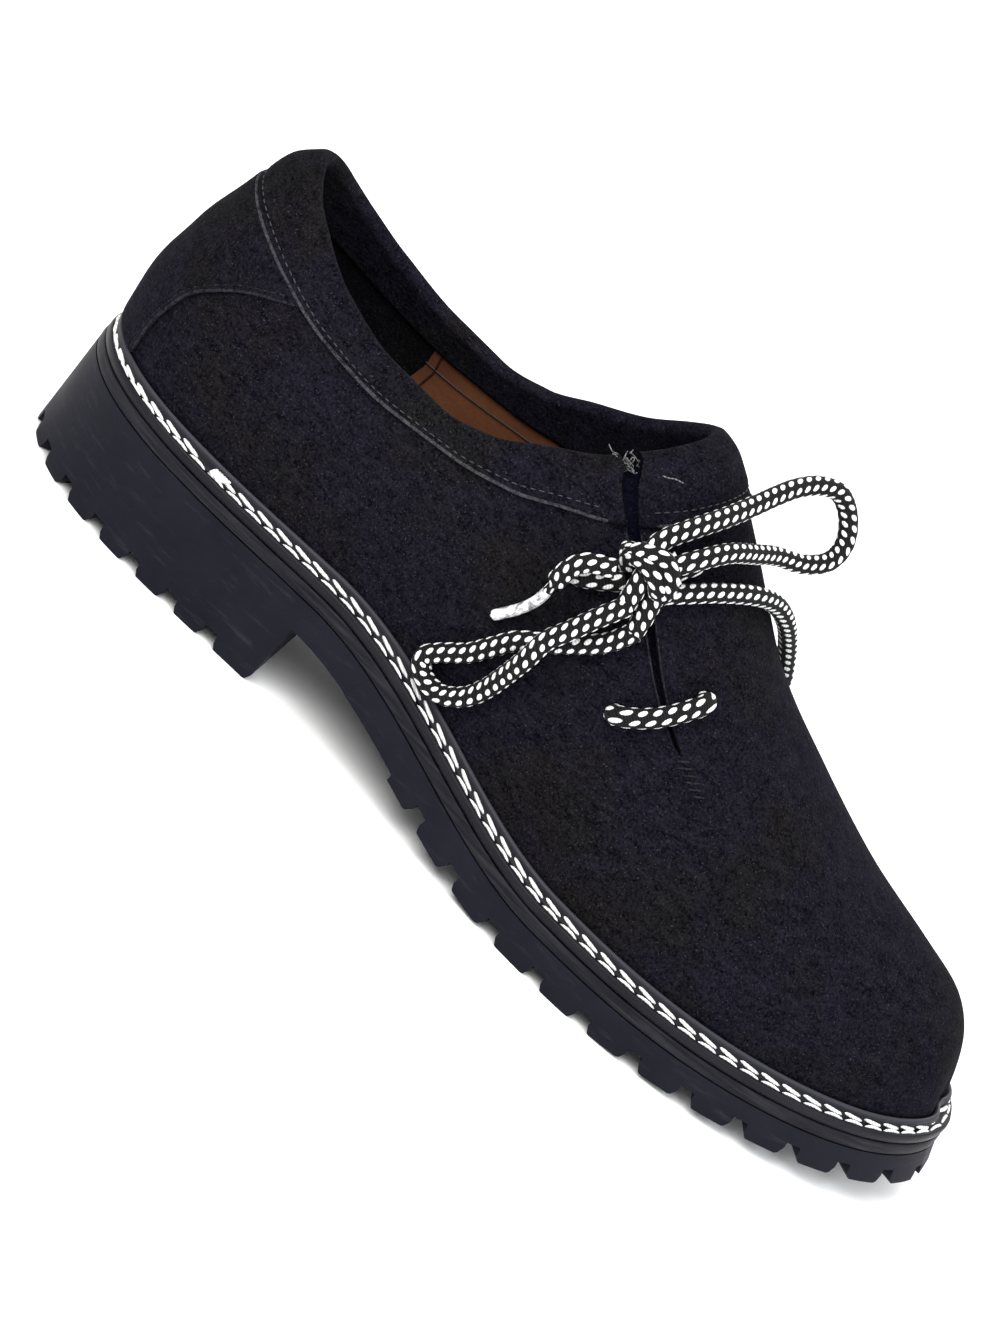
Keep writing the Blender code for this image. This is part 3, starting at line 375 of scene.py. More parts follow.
def surface(ring, height_level):
    """The upper's outside at a place on the ring and a level."""
    ring, height_level = np.broadcast_arrays(np.asarray(ring, float), np.asarray(height_level, float))
    share = (1 - np.cos(np.pi * ring)) / 2
    outer = np.sin(np.pi * ring) > 0
    front_share = read_table(FRONT, 1, height_level)
    front = np.interp(front_share, RIDGE_SHARE, RIDGE_X)
    front_height = np.interp(front_share, RIDGE_SHARE, RIDGE_HEIGHT)
    x = FEATHER.back + (front - FEATHER.back) * share

    top = (QUARTER_HEIGHT + (BACK_HEIGHT - QUARTER_HEIGHT) * read_table(TOPLINE, 1, share)
           + (THROAT_HEIGHT - QUARTER_HEIGHT) * read_table(TOPLINE, 2, share))
    height = height_level * top + (front_height - height_level * THROAT_HEIGHT) * share ** 2
    ridge = np.interp(x, RIDGE_X[::-1], RIDGE_HEIGHT[::-1])
    part = np.clip(height / np.maximum(ridge, 1e-6), 0.0, 1.0)
    part = np.where(share > 1 - 1e-9, 1.0, part)

    along = (x - FEATHER.back) / (FEATHER.front - FEATHER.back)
    roundness = read_table(SECTIONS, 1, along)
    bulge = SIDE_BULGE * np.where(outer, read_table(SECTIONS, 2, along), read_table(SECTIONS, 3, along))
    middle = FEATHER.tip * ease((along - 0.35) / 0.65)
    edge = np.where(outer, FEATHER.edge(x, -1), FEATHER.edge(x, 1))
    half = np.abs(edge - middle)
    narrow = np.minimum(half / (BALL_WIDTH / 4), 1.0)
    swell = bulge * narrow * np.sin(np.pi * np.clip(part / 0.75, 0.0, 1.0))
    out = half * np.sqrt(np.maximum(1 - part ** roundness, 0.0)) + swell
    y = middle + np.where(outer, -1.0, 1.0) * out

    lean = HEEL_BULGE * read_table(BACK_CURVE, 1, height / BACK_HEIGHT)
    nose = TOE_BULGE * np.sin(np.pi * np.clip(part, 0.0, 1.0)) * ease((along - 0.85) / 0.15)
    x = x + lean * (1 - ease(along / 0.28)) + nose
    return np.stack((x, y, seat(x) + height), axis=-1)


def normals(ring, height_level):
    """Unit vectors pointing out of the upper."""
    step = 0.002
    low, high = np.maximum(height_level - step, 0.0), np.minimum(height_level + step, 1.0)
    around = surface(ring + step, height_level) - surface(ring - step, height_level)
    upward = surface(ring, high) - surface(ring, low)
    out = np.cross(around, upward)
    return out / np.maximum(np.linalg.norm(out, axis=-1, keepdims=True), 1e-12)


def offset_surface(ring, height_level, distance):
    """The upper's outside moved out or in by a distance, or one for each point."""
    ring, height_level = np.asarray(ring, float), np.asarray(height_level, float)
    inside = np.clip(height_level, 0.0, 1.0)
    distance = np.asarray(distance, float)
    distance = distance[..., None] if distance.ndim else distance
    point = surface(ring, inside) + normals(ring, inside) * distance
    beyond = surface(ring, 1.0) - surface(ring, 0.99)
    return point + beyond * np.maximum(height_level - 1.0, 0.0)[..., None] * 100


def foot(ring, height):
    """The upper's outside at a height over the seat, near the sole, and the way out from there."""
    levels = np.linspace(0.0, 0.25, 26)
    grid_ring, grid_level = np.meshgrid(ring, levels)
    grid = surface(grid_ring, grid_level)
    heights = grid[..., 2] - seat(grid[..., 0])
    at = np.array([np.interp(height, heights[:, i], levels) for i in range(len(ring))])
    return surface(ring, at), normals(ring, at)


def along_upper(route):
    """Points over the upper from rows of place on the ring, level and lift."""
    ring, height_level, lift = np.array(route, float).T
    return offset_surface(ring, height_level, lift)


def smooth_path(points, spacing):
    """Evenly spaced points on a smooth curve through the given ones."""
    points = np.asarray(points, float)
    ends = np.vstack((2 * points[0] - points[1], points, 2 * points[-1] - points[-2]))
    t = np.linspace(0.0, 1.0, 16, endpoint=False)[:, None]
    dense = [b + ((c - a) * t + (2 * a - 5 * b + 4 * c - d) * t ** 2 + (3 * (b - c) + d - a) * t ** 3) / 2
             for a, b, c, d in zip(ends, ends[1:], ends[2:], ends[3:])]
    dense = np.concatenate(dense + [points[-1:]])
    arcs = arc_lengths(dense)
    return at_arcs(dense, arcs, np.linspace(0.0, arcs[-1], int(arcs[-1] / spacing) + 1))


# Materials


class Nodes:
    """A small helper to write a material's nodes in a few lines."""

    def __init__(self, name, **values):
        self.material = bpy.data.materials.new(name)
        self.material.use_nodes = True
        self.tree = self.material.node_tree
        self.shader = self.tree.nodes["Principled BSDF"]
        for socket, value in values.items():
            self.shader.inputs[socket.replace("_", " ")].default_value = value

    def add(self, kind, properties=None, **inputs):
        """A node with its properties and inputs, each a value or another node's output."""
        node = self.tree.nodes.new(kind)
        for key, value in (properties or {}).items():
            setattr(node, key, value)
        for key, value in inputs.items():
            self.feed(node.inputs[key.replace("_", " ")], value)
        return node

    def feed(self, socket, value):
        """Set a socket to a value, or link it to an output."""
        if isinstance(value, bpy.types.NodeSocket):
            self.tree.links.new(value, socket)
        else:
            socket.default_value = value

    def place(self, scale=(1.0, 1.0, 1.0)):
        """Positions on the object in metres, stretched by a scale."""
        source = self.add("ShaderNodeTexCoord").outputs["Object"]
        return self.add("ShaderNodeMapping", Vector=source, Scale=scale).outputs["Vector"]

    def map_place(self):
        """The two coordinates of the object's own map."""
        source = self.add("ShaderNodeTexCoord").outputs["UV"]
        return self.add("ShaderNodeSeparateXYZ", Vector=source).outputs[:2]

    def noise(self, vector, scale, detail, roughness):
        """Soft random values between 0 and 1."""
        return self.add("ShaderNodeTexNoise", Vector=vector, Scale=scale, Detail=detail,
                        Roughness=roughness).outputs["Fac"]

    def strands(self, scale, distortion):
        """Fine slanted bands, as of twisted yarn."""
        return self.add("ShaderNodeTexWave", {"bands_direction": "DIAGONAL"}, Vector=self.place(),
                        Scale=scale, Distortion=distortion, Detail=2.0).outputs["Fac"]

    def math(self, operation, first, second=0.0, third=0.0):
        """A calculation on one to three values."""
        node = self.add("ShaderNodeMath", {"operation": operation})
        for socket, value in zip(node.inputs, (first, second, third)):
            self.feed(socket, value)
        return node.outputs["Value"]

    def weigh(self, first, share, second):
        """Two values together, the first by its share and the second by the rest."""
        return self.math("MULTIPLY_ADD", first, share, self.math("MULTIPLY", second, 1 - share))

    def mix(self, factor, first, second):
        """A colour between two, each of them three numbers or another node's output."""
        node = self.add("ShaderNodeMix", {"data_type": "RGBA"}, Factor=factor)
        for socket, value in zip(node.inputs[6:8], (first, second)):
            self.feed(socket, (*value, 1.0) if isinstance(value, tuple) else value)
        return node.outputs[2]

    def ramp(self, factor, low, high, start=0.3, end=0.7):
        """A value or a colour that goes from low to high while the factor passes a range."""
        ends = {"From_Min": start, "From_Max": end}
        if isinstance(low, tuple):
            return self.mix(self.add("ShaderNodeMapRange", Value=factor, **ends).outputs["Result"], low, high)
        return self.add("ShaderNodeMapRange", Value=factor, To_Min=low, To_Max=high, **ends).outputs["Result"]

    def finish(self, colour, height, distance, strength, roughness=None):
        """Feed the shader its colour, its bump as a height in shares of a distance, and its roughness."""
        self.feed(self.shader.inputs["Base Color"], colour)
        if roughness:
            self.feed(self.shader.inputs["Roughness"], roughness)
        node = self.add("ShaderNodeBump", Height=height, Distance=distance, Strength=strength)
        self.feed(self.shader.inputs["Normal"], node.outputs["Normal"])
        return self.material


def suede_material(name, dark, light, sheen, olive=1.0):
    """Napped leather: mottled and dull, with short fibres that catch the light."""
    nodes = Nodes(name, Roughness=0.95, Sheen_Weight=sheen, Sheen_Roughness=0.42,
                  Sheen_Tint=(0.66, 0.66, 0.84, 1.0), Specular_IOR_Level=0.03)
    place = nodes.place()
    brushed = nodes.noise(nodes.place((1.0, 1.0, 2.4)), 210.0, 4.0, 0.65)
    fibres = nodes.noise(place, 1300.0, 3.0, 0.7)
    tone = nodes.weigh(brushed, 0.35, fibres)
    warm_dark, warm_light = (*dark[:2], dark[2] * 0.62), (*light[:2], light[2] * 0.66)
    base, warm = (nodes.ramp(tone, *pair, 0.38, 0.64) for pair in ((dark, light), (warm_dark, warm_light)))
    patches = nodes.ramp(nodes.noise(place, 26.0, 4.0, 0.6), 0.0, olive, 0.46, 0.62)
    specks = nodes.ramp(nodes.noise(place, 2100.0, 1.0, 0.5), 0.0, 0.55, 0.66, 0.76)
    colour = nodes.mix(specks, nodes.mix(patches, base, warm), (0.048, 0.048, 0.056))
    return nodes.finish(colour, nodes.weigh(nodes.noise(place, 520.0, 3.0, 0.6), 0.6, fibres), 0.0006, 1.0)


def rubber_material():
    """Moulded black rubber, faintly blue, with a fine skin and a few scuffs."""
    nodes = Nodes("sole_rubber", Specular_IOR_Level=0.11)
    cloud = nodes.noise(nodes.place(), 60.0, 4.0, 0.6)
    skin = nodes.noise(nodes.place(), 900.0, 3.0, 0.6)
    scuff = nodes.noise(nodes.place((0.3, 0.3, 2.2)), 240.0, 5.0, 0.7)
    base = nodes.ramp(cloud, (0.0022, 0.0022, 0.0062), (0.0068, 0.0066, 0.0125))
    colour = nodes.mix(nodes.ramp(scuff, 0.0, 0.5, 0.56, 0.74), base, (0.026, 0.026, 0.034))
    return nodes.finish(colour, skin, 0.00012, 0.5, nodes.ramp(cloud, 0.50, 0.68))


def midsole_material():
    """A buffed rubber layer, greyer than the sole, with scuffs along its edge."""
    nodes = Nodes("midsole_rubber", Specular_IOR_Level=0.11)
    streaks = nodes.noise(nodes.place((0.16, 0.16, 3.2)), 330.0, 5.0, 0.65)
    cloud = nodes.noise(nodes.place(), 90.0, 3.0, 0.6)
    base = nodes.ramp(streaks, (0.0035, 0.0035, 0.0065), (0.0220, 0.0220, 0.0260), 0.42, 0.74)
    colour = nodes.mix(nodes.ramp(cloud, 0.0, 0.6, 0.4, 0.75), base, (0.007, 0.007, 0.011))
    return nodes.finish(colour, streaks, 0.00016, 0.6, nodes.ramp(cloud, 0.46, 0.64))


def welt_material():
    """Waxed welt leather with a fine grain and a painted highlight along the top of its lip."""
    nodes = Nodes("welt_leather", Specular_IOR_Level=0.14)
    grain = nodes.noise(nodes.place(), 700.0, 4.0, 0.6)
    cloud = nodes.noise(nodes.place((0.5, 0.5, 1.5)), 150.0, 4.0, 0.6)
    # Painted highlight: the lip's top rows are lightened towards pale grey to stand in for the light along
    # it.
    painted_lip_highlight = nodes.ramp(nodes.map_place()[1], 0.0, 0.75, 0.70, 0.82)
    base = nodes.ramp(cloud, (0.0025, 0.0025, 0.0050), (0.0080, 0.0080, 0.0115))
    colour = nodes.mix(painted_lip_highlight, base, (0.044, 0.044, 0.054))
    return nodes.finish(colour, grain, 0.00015, 0.6, nodes.ramp(cloud, 0.38, 0.56))


def leather_material(name, dark, light, roughness):
    """Smooth lining leather with pores and soft staining."""
    nodes = Nodes(name, Specular_IOR_Level=0.4)
    pores = nodes.add("ShaderNodeTexVoronoi", Vector=nodes.place(), Scale=650.0).outputs["Distance"]
    cloud = nodes.noise(nodes.place(), 45.0, 4.0, 0.6)
    return nodes.finish(nodes.ramp(cloud, dark, light), pores, 0.0002, 0.35,
                        nodes.ramp(cloud, roughness - 0.06, roughness + 0.08))


def thread_material(name, dark, light, sheen):
    """Twisted thread: fine slanted strands along the stitch."""
    nodes = Nodes(name, Roughness=0.62, Sheen_Weight=sheen)
    strands = nodes.strands(420.0, 1.5)
    fuzz = nodes.noise(nodes.place(), 1600.0, 2.0, 0.6)
    colour = nodes.ramp(strands, dark, light, 0.1, 0.7)
    return nodes.finish(colour, nodes.weigh(strands, 0.7, fuzz), 0.00015, 0.6)


def lace_material():
    """Black braid with white oval flecks in alternating rows."""
    nodes = Nodes("lace_braid", Roughness=0.80, Sheen_Weight=0.02, Specular_IOR_Level=0.12)
    map_x, map_y = nodes.map_place()
    around = nodes.math("MULTIPLY", map_x, float(DOTS_AROUND))
    along = nodes.math("DIVIDE", map_y, DOT_PITCH)
    shifted = nodes.math("ADD", along, nodes.math("MULTIPLY", nodes.math("FLOOR", around), 0.5))
    across, forward = (nodes.math("SUBTRACT", nodes.math("FRACT", value), 0.5) for value in (around, shifted))
    slanted = nodes.math("MULTIPLY_ADD", forward, 0.45, across)
    squares = [nodes.math("POWER", nodes.math("DIVIDE", value, half), 2.0)
               for value, half in ((slanted, 0.265), (forward, 0.325))]
    reach = nodes.math("SQRT", nodes.math("ADD", *squares))
    yarn = nodes.noise(nodes.place(), 2300.0, 2.0, 0.6)
    weave = nodes.strands(520.0, 2.0)
    dot = nodes.ramp(nodes.math("MULTIPLY_ADD", yarn, 0.16, reach), 1.0, 0.0, 1.00, 1.16)
    black = nodes.ramp(weave, (0.0022, 0.0022, 0.0025), (0.0080, 0.0080, 0.0090), 0.2, 0.8)
    white = nodes.ramp(weave, (0.56, 0.56, 0.55), (0.84, 0.84, 0.83), 0.1, 0.7)
    return nodes.finish(nodes.mix(dot, black, white), nodes.weigh(weave, 0.5, yarn), 0.00018, 0.7)


def aglet_material():
    """The clear film round the lace's tip, over its crushed flecks."""
    nodes = Nodes("aglet_film", Roughness=0.22, Coat_Weight=0.8, Coat_Roughness=0.12)
    streaks = nodes.noise(nodes.place((1.0, 1.0, 0.6)), 520.0, 4.0, 0.7)
    return nodes.finish(nodes.ramp(streaks, (0.16, 0.16, 0.18), (0.86, 0.86, 0.88), 0.40, 0.56),
                        nodes.noise(nodes.place(), 420.0, 3.0, 0.6), 0.0003, 0.6)


SUEDE = suede_material("black_suede", (0.0006, 0.0005, 0.0020), (0.0108, 0.0100, 0.0160), 0.006)
SUEDE_EDGE = suede_material("cut_suede_edge", (0.0060, 0.0060, 0.0090), (0.0620, 0.0620, 0.0700), 0.02, 0.0)
FACING = suede_material("black_facing", (0.0012, 0.0012, 0.0024), (0.0060, 0.0060, 0.0090), 0.008)
GUSSET = suede_material("blue_gusset", (0.0014, 0.0014, 0.0048), (0.0060, 0.0062, 0.0150), 0.012, 0.0)
RUBBER = rubber_material()
MIDSOLE = midsole_material()
WELT = welt_material()
LINING = leather_material("brown_lining", (0.070, 0.024, 0.011), (0.150, 0.056, 0.024), 0.50)
FOOTBED = leather_material("footbed_leather", (0.120, 0.055, 0.026), (0.200, 0.095, 0.048), 0.55)
COUNTER_EDGE = suede_material("counter_suede_edge", (0.0030, 0.0030, 0.0050), (0.0270, 0.0270, 0.0330),
                              0.012, 0.0)
SEAM_LEATHER = leather_material("dark_seam_leather", (0.010, 0.005, 0.003), (0.026, 0.011, 0.006), 0.6)
FRAYED_THREAD = thread_material("frayed_thread", (0.030, 0.030, 0.032), (0.130, 0.130, 0.130), 0.02)
WHITE_THREAD = thread_material("white_thread", (0.50, 0.50, 0.50), (0.82, 0.82, 0.81), 0.02)
DARK_THREAD = thread_material("grey_thread", (0.0040, 0.0040, 0.0055), (0.0240, 0.0240, 0.0290), 0.01)
LACE_BRAID = lace_material()
AGLET_FILM = aglet_material()


# Meshes


def place_object(name, data):
    """A new object in the scene."""
    piece = bpy.data.objects.new(name, data)
    bpy.context.scene.collection.objects.link(piece)
    return piece


def plain_mesh(name, points, faces):
    """A mesh object in the shoe's place that isn't a piece yet."""
    mesh = bpy.data.meshes.new(name)
    mesh.from_pydata((np.asarray(points, float) + SHIFT).tolist(), [], faces)
    return place_object(name, mesh)


def dress(piece, material, slot, replaced=None):
    """Make a mesh a piece of the shoe: give it its material, shade it smooth, hang it under the root and hide
    the CAD node that it stands for.
    """
    piece.data.materials.append(material)
    piece.data.shade_smooth()
    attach(piece, "root")
    if replaced:
        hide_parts(replaced)
    return piece


def add_piece(name, points, faces, material, slot, replaced=None, maps=None):
    """A piece of the shoe from points in the shoe's own frame, with a place on its map for each."""
    piece = plain_mesh(name, points, faces)
    if maps is not None:
        layer = piece.data.uv_layers.new(name="map")
        corners = np.empty(len(piece.data.loops), dtype=np.int64)
        piece.data.loops.foreach_get("vertex_index", corners)
        layer.data.foreach_set("uv", np.asarray(maps, float)[corners].ravel())
    return dress(piece, material, slot, replaced)


def grid_faces(rows, columns):
    """Faces over a grid of points, row by row."""
    corner = np.arange(rows - 1)[:, None] * columns + np.arange(columns - 1)
    return stack(corner, corner + 1, corner + columns + 1, corner + columns).reshape(-1, 4).tolist()


def thick_faces(rows, columns):
    """Faces of the closed solid between two grids of points, the one on its outside first."""
    size = rows * columns
    index = np.arange(size).reshape(rows, columns)
    rim = np.concatenate((index[0], index[1:, -1], index[-1, -2::-1], index[-2:0:-1, 0])).tolist()
    faces = grid_faces(rows, columns)
    faces += [[size + i for i in face[::-1]] for face in faces]
    return faces + [[size + a, size + b, b, a] for a, b in zip(rim, rim[1:] + rim[:1])]


def sharpen(piece, degrees):
    """Keep a piece's hard edges crisp while the rest stays smooth."""
    piece.data.set_sharp_from_angle(angle=np.radians(degrees))


def ring_normals(path):
    """Two directions across a path at each of its points, turning as little as they can."""
    tangents = unit(np.gradient(path, axis=0))
    start = (0.0, 0.0, 1.0) if abs(tangents[0, 2]) < 0.9 else (1.0, 0.0, 0.0)
    sides = [unit(np.cross(tangents[0], start))]
    for tangent in tangents[1:]:
        sides.append(unit(sides[-1] - tangent * np.dot(sides[-1], tangent)))
    sides = np.array(sides)
    return sides, np.cross(tangents, sides)


def tube(path, radii, sides=16, round_ends=False):
    """Points, faces and map of a round tube along a path, with a radius for each point."""
    path = np.asarray(path, float)
    radii = np.broadcast_to(radii, (len(path),)).astype(float)
    across, over = ring_normals(path)
    if round_ends:
        steps = np.arange(len(path))
        reach = np.minimum(steps, steps[::-1]) * np.linalg.norm(path[1] - path[0])
        radii = radii * np.sqrt(np.clip(1 - (1 - np.clip(reach / radii, 0, 1)) ** 2, 0.02, 1))
    turn = 2 * np.pi * np.arange(sides + 1) / sides
    out = across[:, None] * np.cos(turn)[:, None] + over[:, None] * np.sin(turn)[:, None]
    rings = path[:, None] + out * radii[:, None, None]
    maps = stack(turn / (2 * np.pi), arc_lengths(path)[:, None]).reshape(-1, 2)
    last = (len(path) - 1) * (sides + 1)
    caps = [list(range(sides))[::-1], [last + i for i in range(sides)]]
    return rings.reshape(-1, 3), grid_faces(len(path), sides + 1) + caps, maps


def weld(piece):
    """Join the points of a piece that lie on each other."""
    piece.modifiers.new("weld", "WELD").merge_threshold = 0.00001
    return piece


def braid_cell(around, along):
    """How far a place on the lace lies inside its fleck: 1 in the middle, 0 at the edge."""
    column = np.floor(around * DOTS_AROUND)
    across = around * DOTS_AROUND % 1.0 - 0.5
    forward = (along / DOT_PITCH + column * 0.5) % 1.0 - 0.5
    reach = np.sqrt(((across + 0.45 * forward) / 0.48) ** 2 + (forward / 0.50) ** 2)
    return np.clip(1 - reach, 0.0, 1.0)


def lace_tube(name, path, replaced=None, bare=0.0, dot_pitch=DOT_PITCH, turned=0.0):
    """A stretch of braid whose flecks stand out a little, pressed thin over a bare length at its end."""
    left = arc_lengths(path[::-1])[::-1]
    thin = 1 - ease((left - bare) / 0.002) if bare else np.zeros(len(path))
    radii = (LACE / 2 - 0.00012) * (1 - thin) + (AGLET / 2 - 0.0002) * thin
    points, faces, maps = tube(path, radii, LACE_SIDES)
    maps = maps * (1.0, DOT_PITCH / dot_pitch) + (turned, 0.0)
    centres = np.repeat(path, LACE_SIDES + 1, axis=0)
    raised = FLECK_RISE * braid_cell(*maps.T) ** 0.7 * (1 - np.repeat(thin, LACE_SIDES + 1))
    points = points + unit(points - centres) * raised[:, None]
    return weld(add_piece(name, points, faces, LACE_BRAID, "lace", replaced, maps))


def stitch(start, end, out, width, bow=0.0, slant=0.0):
    """One stitch as a short bent thread that dips into its holes at both ends."""
    along = end - start
    aside = unit(np.cross(out, along))
    t = np.linspace(0.0, 1.0, 9)[:, None]
    arch = np.sin(np.pi * t)
    path = (start + along * t + aside * (bow * arch + slant * (t - 0.5))
            + out * (width * 0.42 * arch ** 0.6 - width * 0.25))
    return tube(path, width / 2 * (0.45 + 0.55 * arch[:, 0] ** 0.45), sides=8)


def join_stitches(name, stitches, material, slot):
    """All the stitches of a seam as one piece."""
    points, faces = [], []
    for some_points, some_faces, _ in stitches:
        faces += [[len(points) + index for index in face] for face in some_faces]
        points += list(some_points)
    return weld(add_piece(name, points, faces, material, slot))


# Camera


def add_camera():
    """A camera at the photo's angle, rolled as the photo is."""
    data = bpy.data.cameras.new("camera")
    data.sensor_width = 36.0
    data.lens = CAMERA_LENS
    data.shift_x, data.shift_y = CAMERA_SHIFT
    camera = place_object("camera", data)
    level = np.cos(CAMERA_ELEVATION)
    back = np.array((np.sin(CAMERA_YAW) * level, -np.cos(CAMERA_YAW) * level, np.sin(CAMERA_ELEVATION)))
    place = Matrix.Translation(np.array(CAMERA_TARGET) + SHIFT + back * CAMERA_DISTANCE)
    turn = Vector(-back).to_track_quat("-Z", "Y").to_matrix().to_4x4()
    camera.matrix_world = place @ turn @ Matrix.Rotation(CAMERA_ROLL, 4, "Z")
    bpy.context.scene.camera = camera


add_camera()


# Lace and bow


def lace_stretch(start, end, lift):
    """Rows from the wall's middle at one hole to the next one's, over the upper or behind it."""
    start, end = np.array(start), np.array(end)
    span = np.linalg.norm(surface(*end) - surface(*start))
    turn = np.linspace(0.0, np.pi / 2, 7)
    away = LACE_TURN * (1 - np.cos(turn))
    rise = (abs(lift) - LACE_TURN + LACE_TURN * np.sin(turn)) * np.sign(lift)
    middle = np.linspace(LACE_TURN, span - LACE_TURN, 2 + int(span / 0.0015))[1:-1]
    along = np.concatenate(([0.0], away, middle, span - away[::-1])) / span
    lifts = np.concatenate(([-WALL / 2], rise, np.full(len(middle), lift), rise[::-1]))
    return [(*(start + (end - start) * a), h) for a, h in zip(along, lifts)]


def make_lace():
    """The lace through its four holes, from the knot and back to it."""
    behind = -(WALL + CLEARANCE * 2 + LACE / 2)
    quarter_high, quarter_low, vamp_low, vamp_high = LACE_HOLES
    rows = (lace_stretch(KNOT_PLACE, quarter_high, LACE_LIFT)[6:]
            + lace_stretch(quarter_high, quarter_low, behind) + lace_stretch(quarter_low, vamp_low, LACE_LIFT)
            + lace_stretch(vamp_low, vamp_high, behind) + lace_stretch(vamp_high, KNOT_PLACE, LACE_LIFT)[:-6])
    lace_tube("lace_through_holes", smooth_path(along_upper(rows), LACE_STEP), "lace",
              dot_pitch=BAR_DOT_PITCH, turned=BAR_TURN)


def make_bow():
    """The knot's turns, two loops and two ends with their tips."""
    for number, route in enumerate(KNOT_TURNS):
        lace_tube(f"knot_turn_{number}", smooth_path(along_upper(route), LACE_STEP),
                  None if number else "lace_knot")
    for name, node, route, tip_node in (
            ("bow_loop_low", "lace_loop_low", LOW_LOOP, None),
            ("bow_loop_high", "lace_loop_high", HIGH_LOOP, None),
            ("bow_end_low", "lace_end_low", LOW_END, "aglet_low"),
            ("bow_end_high", "lace_end_high", HIGH_END, "aglet_high")):
        path = smooth_path(along_upper(route), LACE_STEP)
        if tip_node:
            piece = lace_tube(name, path[:-1], node, AGLET_LENGTH)
            points, faces, maps = tube(path[-int(AGLET_LENGTH / LACE_STEP):], AGLET / 2, round_ends=True)
            weld(add_piece(name + "_tip", points, faces, AGLET_FILM, "aglet", tip_node, maps))
        else:
            piece = lace_tube(name, path, node)
        float(arc_lengths(path)[-1])


make_lace()
make_bow()


# Upper


def ring_width(ring, height_level):
    """Metres over the upper for one unit of its ring."""
    step = 0.01
    return np.linalg.norm(surface(ring + step, height_level) - surface(ring - step, height_level),
                          axis=-1) / (2 * step)


def slit_edges(levels):
    """Places on the ring of the slit's two edges; they meet below its end."""
    middle = read_table(SLIT, 1, levels)
    share = np.clip((levels - SLIT_END) / (SLIT[0][0] - SLIT_END), 0.0, 1.0)
    narrow = SLIT_END_WIDTH * 0.5
    opening = np.where(levels > SLIT_END, narrow + (SLIT_WIDTH - narrow) * share, 0.0)
    half = opening / 2 / ring_width(middle, np.minimum(levels, 1.0))
    return middle - half, middle + half


def open_ring(levels):
    """Places on the ring from the slit's vamp edge round the heel to its quarter edge, a row a level."""
    quarter, vamp = slit_edges(levels)
    return vamp[:, None] + (quarter[:, None] + 2.0 - vamp[:, None]) * np.linspace(0.0, 1.0, RING_COLUMNS)


# Soft folds of the upper: ring and level of both ends, width, depth (negative is a trough), in metres
FOLDS = (
    (0.640, 0.80, 0.700, 0.42, 0.0100, -0.0007), (0.560, 0.78, 0.500, 0.45, 0.0140, 0.0005),
    (0.905, 0.76, 0.800, 0.50, 0.0100, -0.0006), (0.930, 0.62, 0.840, 0.36, 0.0120, 0.0005),
    (0.700, 0.44, 0.640, 0.22, 0.0120, -0.0006), (0.360, 0.72, 0.300, 0.38, 0.0130, -0.0006),
    (0.230, 0.66, 0.200, 0.30, 0.0100, 0.0004), (1.120, 0.66, 1.240, 0.30, 0.0130, -0.0007),
    (1.200, 0.72, 1.320, 0.42, 0.0110, 0.0005), (1.480, 0.72, 1.420, 0.36, 0.0140, -0.0006),
    (0.780, 0.50, 0.860, 0.24, 0.0110, 0.0004), (1.060, 0.52, 1.180, 0.26, 0.0120, 0.0005),
)


def folds(ring, height_level):
    """How far the leather's soft folds lift it at each place."""
    lift = np.zeros(np.broadcast(ring, height_level).shape)
    points = surface(ring, height_level)
    for ring_a, level_a, ring_b, level_b, width, depth in FOLDS:
        for turn in (-2.0, 0.0, 2.0):
            a, b = surface(ring_a + turn, level_a), surface(ring_b + turn, level_b)
            along = b - a
            share = np.clip((points - a) @ along / (along @ along), 0.0, 1.0)
            distance = np.linalg.norm(points - (a + share[..., None] * along), axis=-1)
            near = np.abs(ring - (ring_a + turn + (ring_b - ring_a) * share)) < 0.3
            lift += near * depth * np.exp(-(distance / width) ** 2)
    wave = np.sin(ring * 23.0 + height_level * 9.0) * np.sin(ring * 7.0 - height_level * 15.0 + 1.3)
    return lift + 0.00022 * wave * np.sin(np.pi * np.clip(height_level, 0, 1))


def slit_curl(ring, height_level):
    """The quarter's and vamp's edges lift a little beside the slit."""
    near = np.min([np.abs(ring % 2.0 - edge) for edge in slit_edges(height_level)], axis=0)
    return 0.0009 * ease((height_level - SLIT_END) / 0.25) * np.exp(-(near / 0.022) ** 2)


def upper_lift(ring, height_level):
    """All that moves the outer skin off the plain surface."""
    return folds(ring, height_level) + slit_curl(ring, height_level)


def shell(name, ring, height_level, outer, inner, material, slot, replaced=None):
    """A closed solid along the upper between two lifts, each one value or one for each grid point."""
    ring, height_level = np.broadcast_arrays(ring, height_level)
    skins = [offset_surface(ring, height_level, np.broadcast_to(lift, ring.shape)) for lift in (outer, inner)]
    maps = stack(ring, height_level).reshape(-1, 2)
    piece = add_piece(name, np.reshape(skins, (-1, 3)), thick_faces(*ring.shape), material, slot, replaced,
                      np.concatenate((maps, maps)))
    sharpen(piece, 50.0)
    return piece


def make_upper():
    """The suede wall, open along the slit."""
    levels = np.concatenate((np.linspace(0.0, SLIT_END, 44), np.linspace(SLIT_END, 0.995, 40)[1:]))
    ring, height_level = np.broadcast_arrays(open_ring(levels), levels[:, None])
    under_band = ease((height_level - BAND_LEVEL - 0.02) / 0.03)
    outer = upper_lift(ring, height_level) * (1 - under_band) - 0.0002 * under_band
    weld(shell("suede_upper", ring, height_level, outer, -WALL, SUEDE, "suede", "upper"))


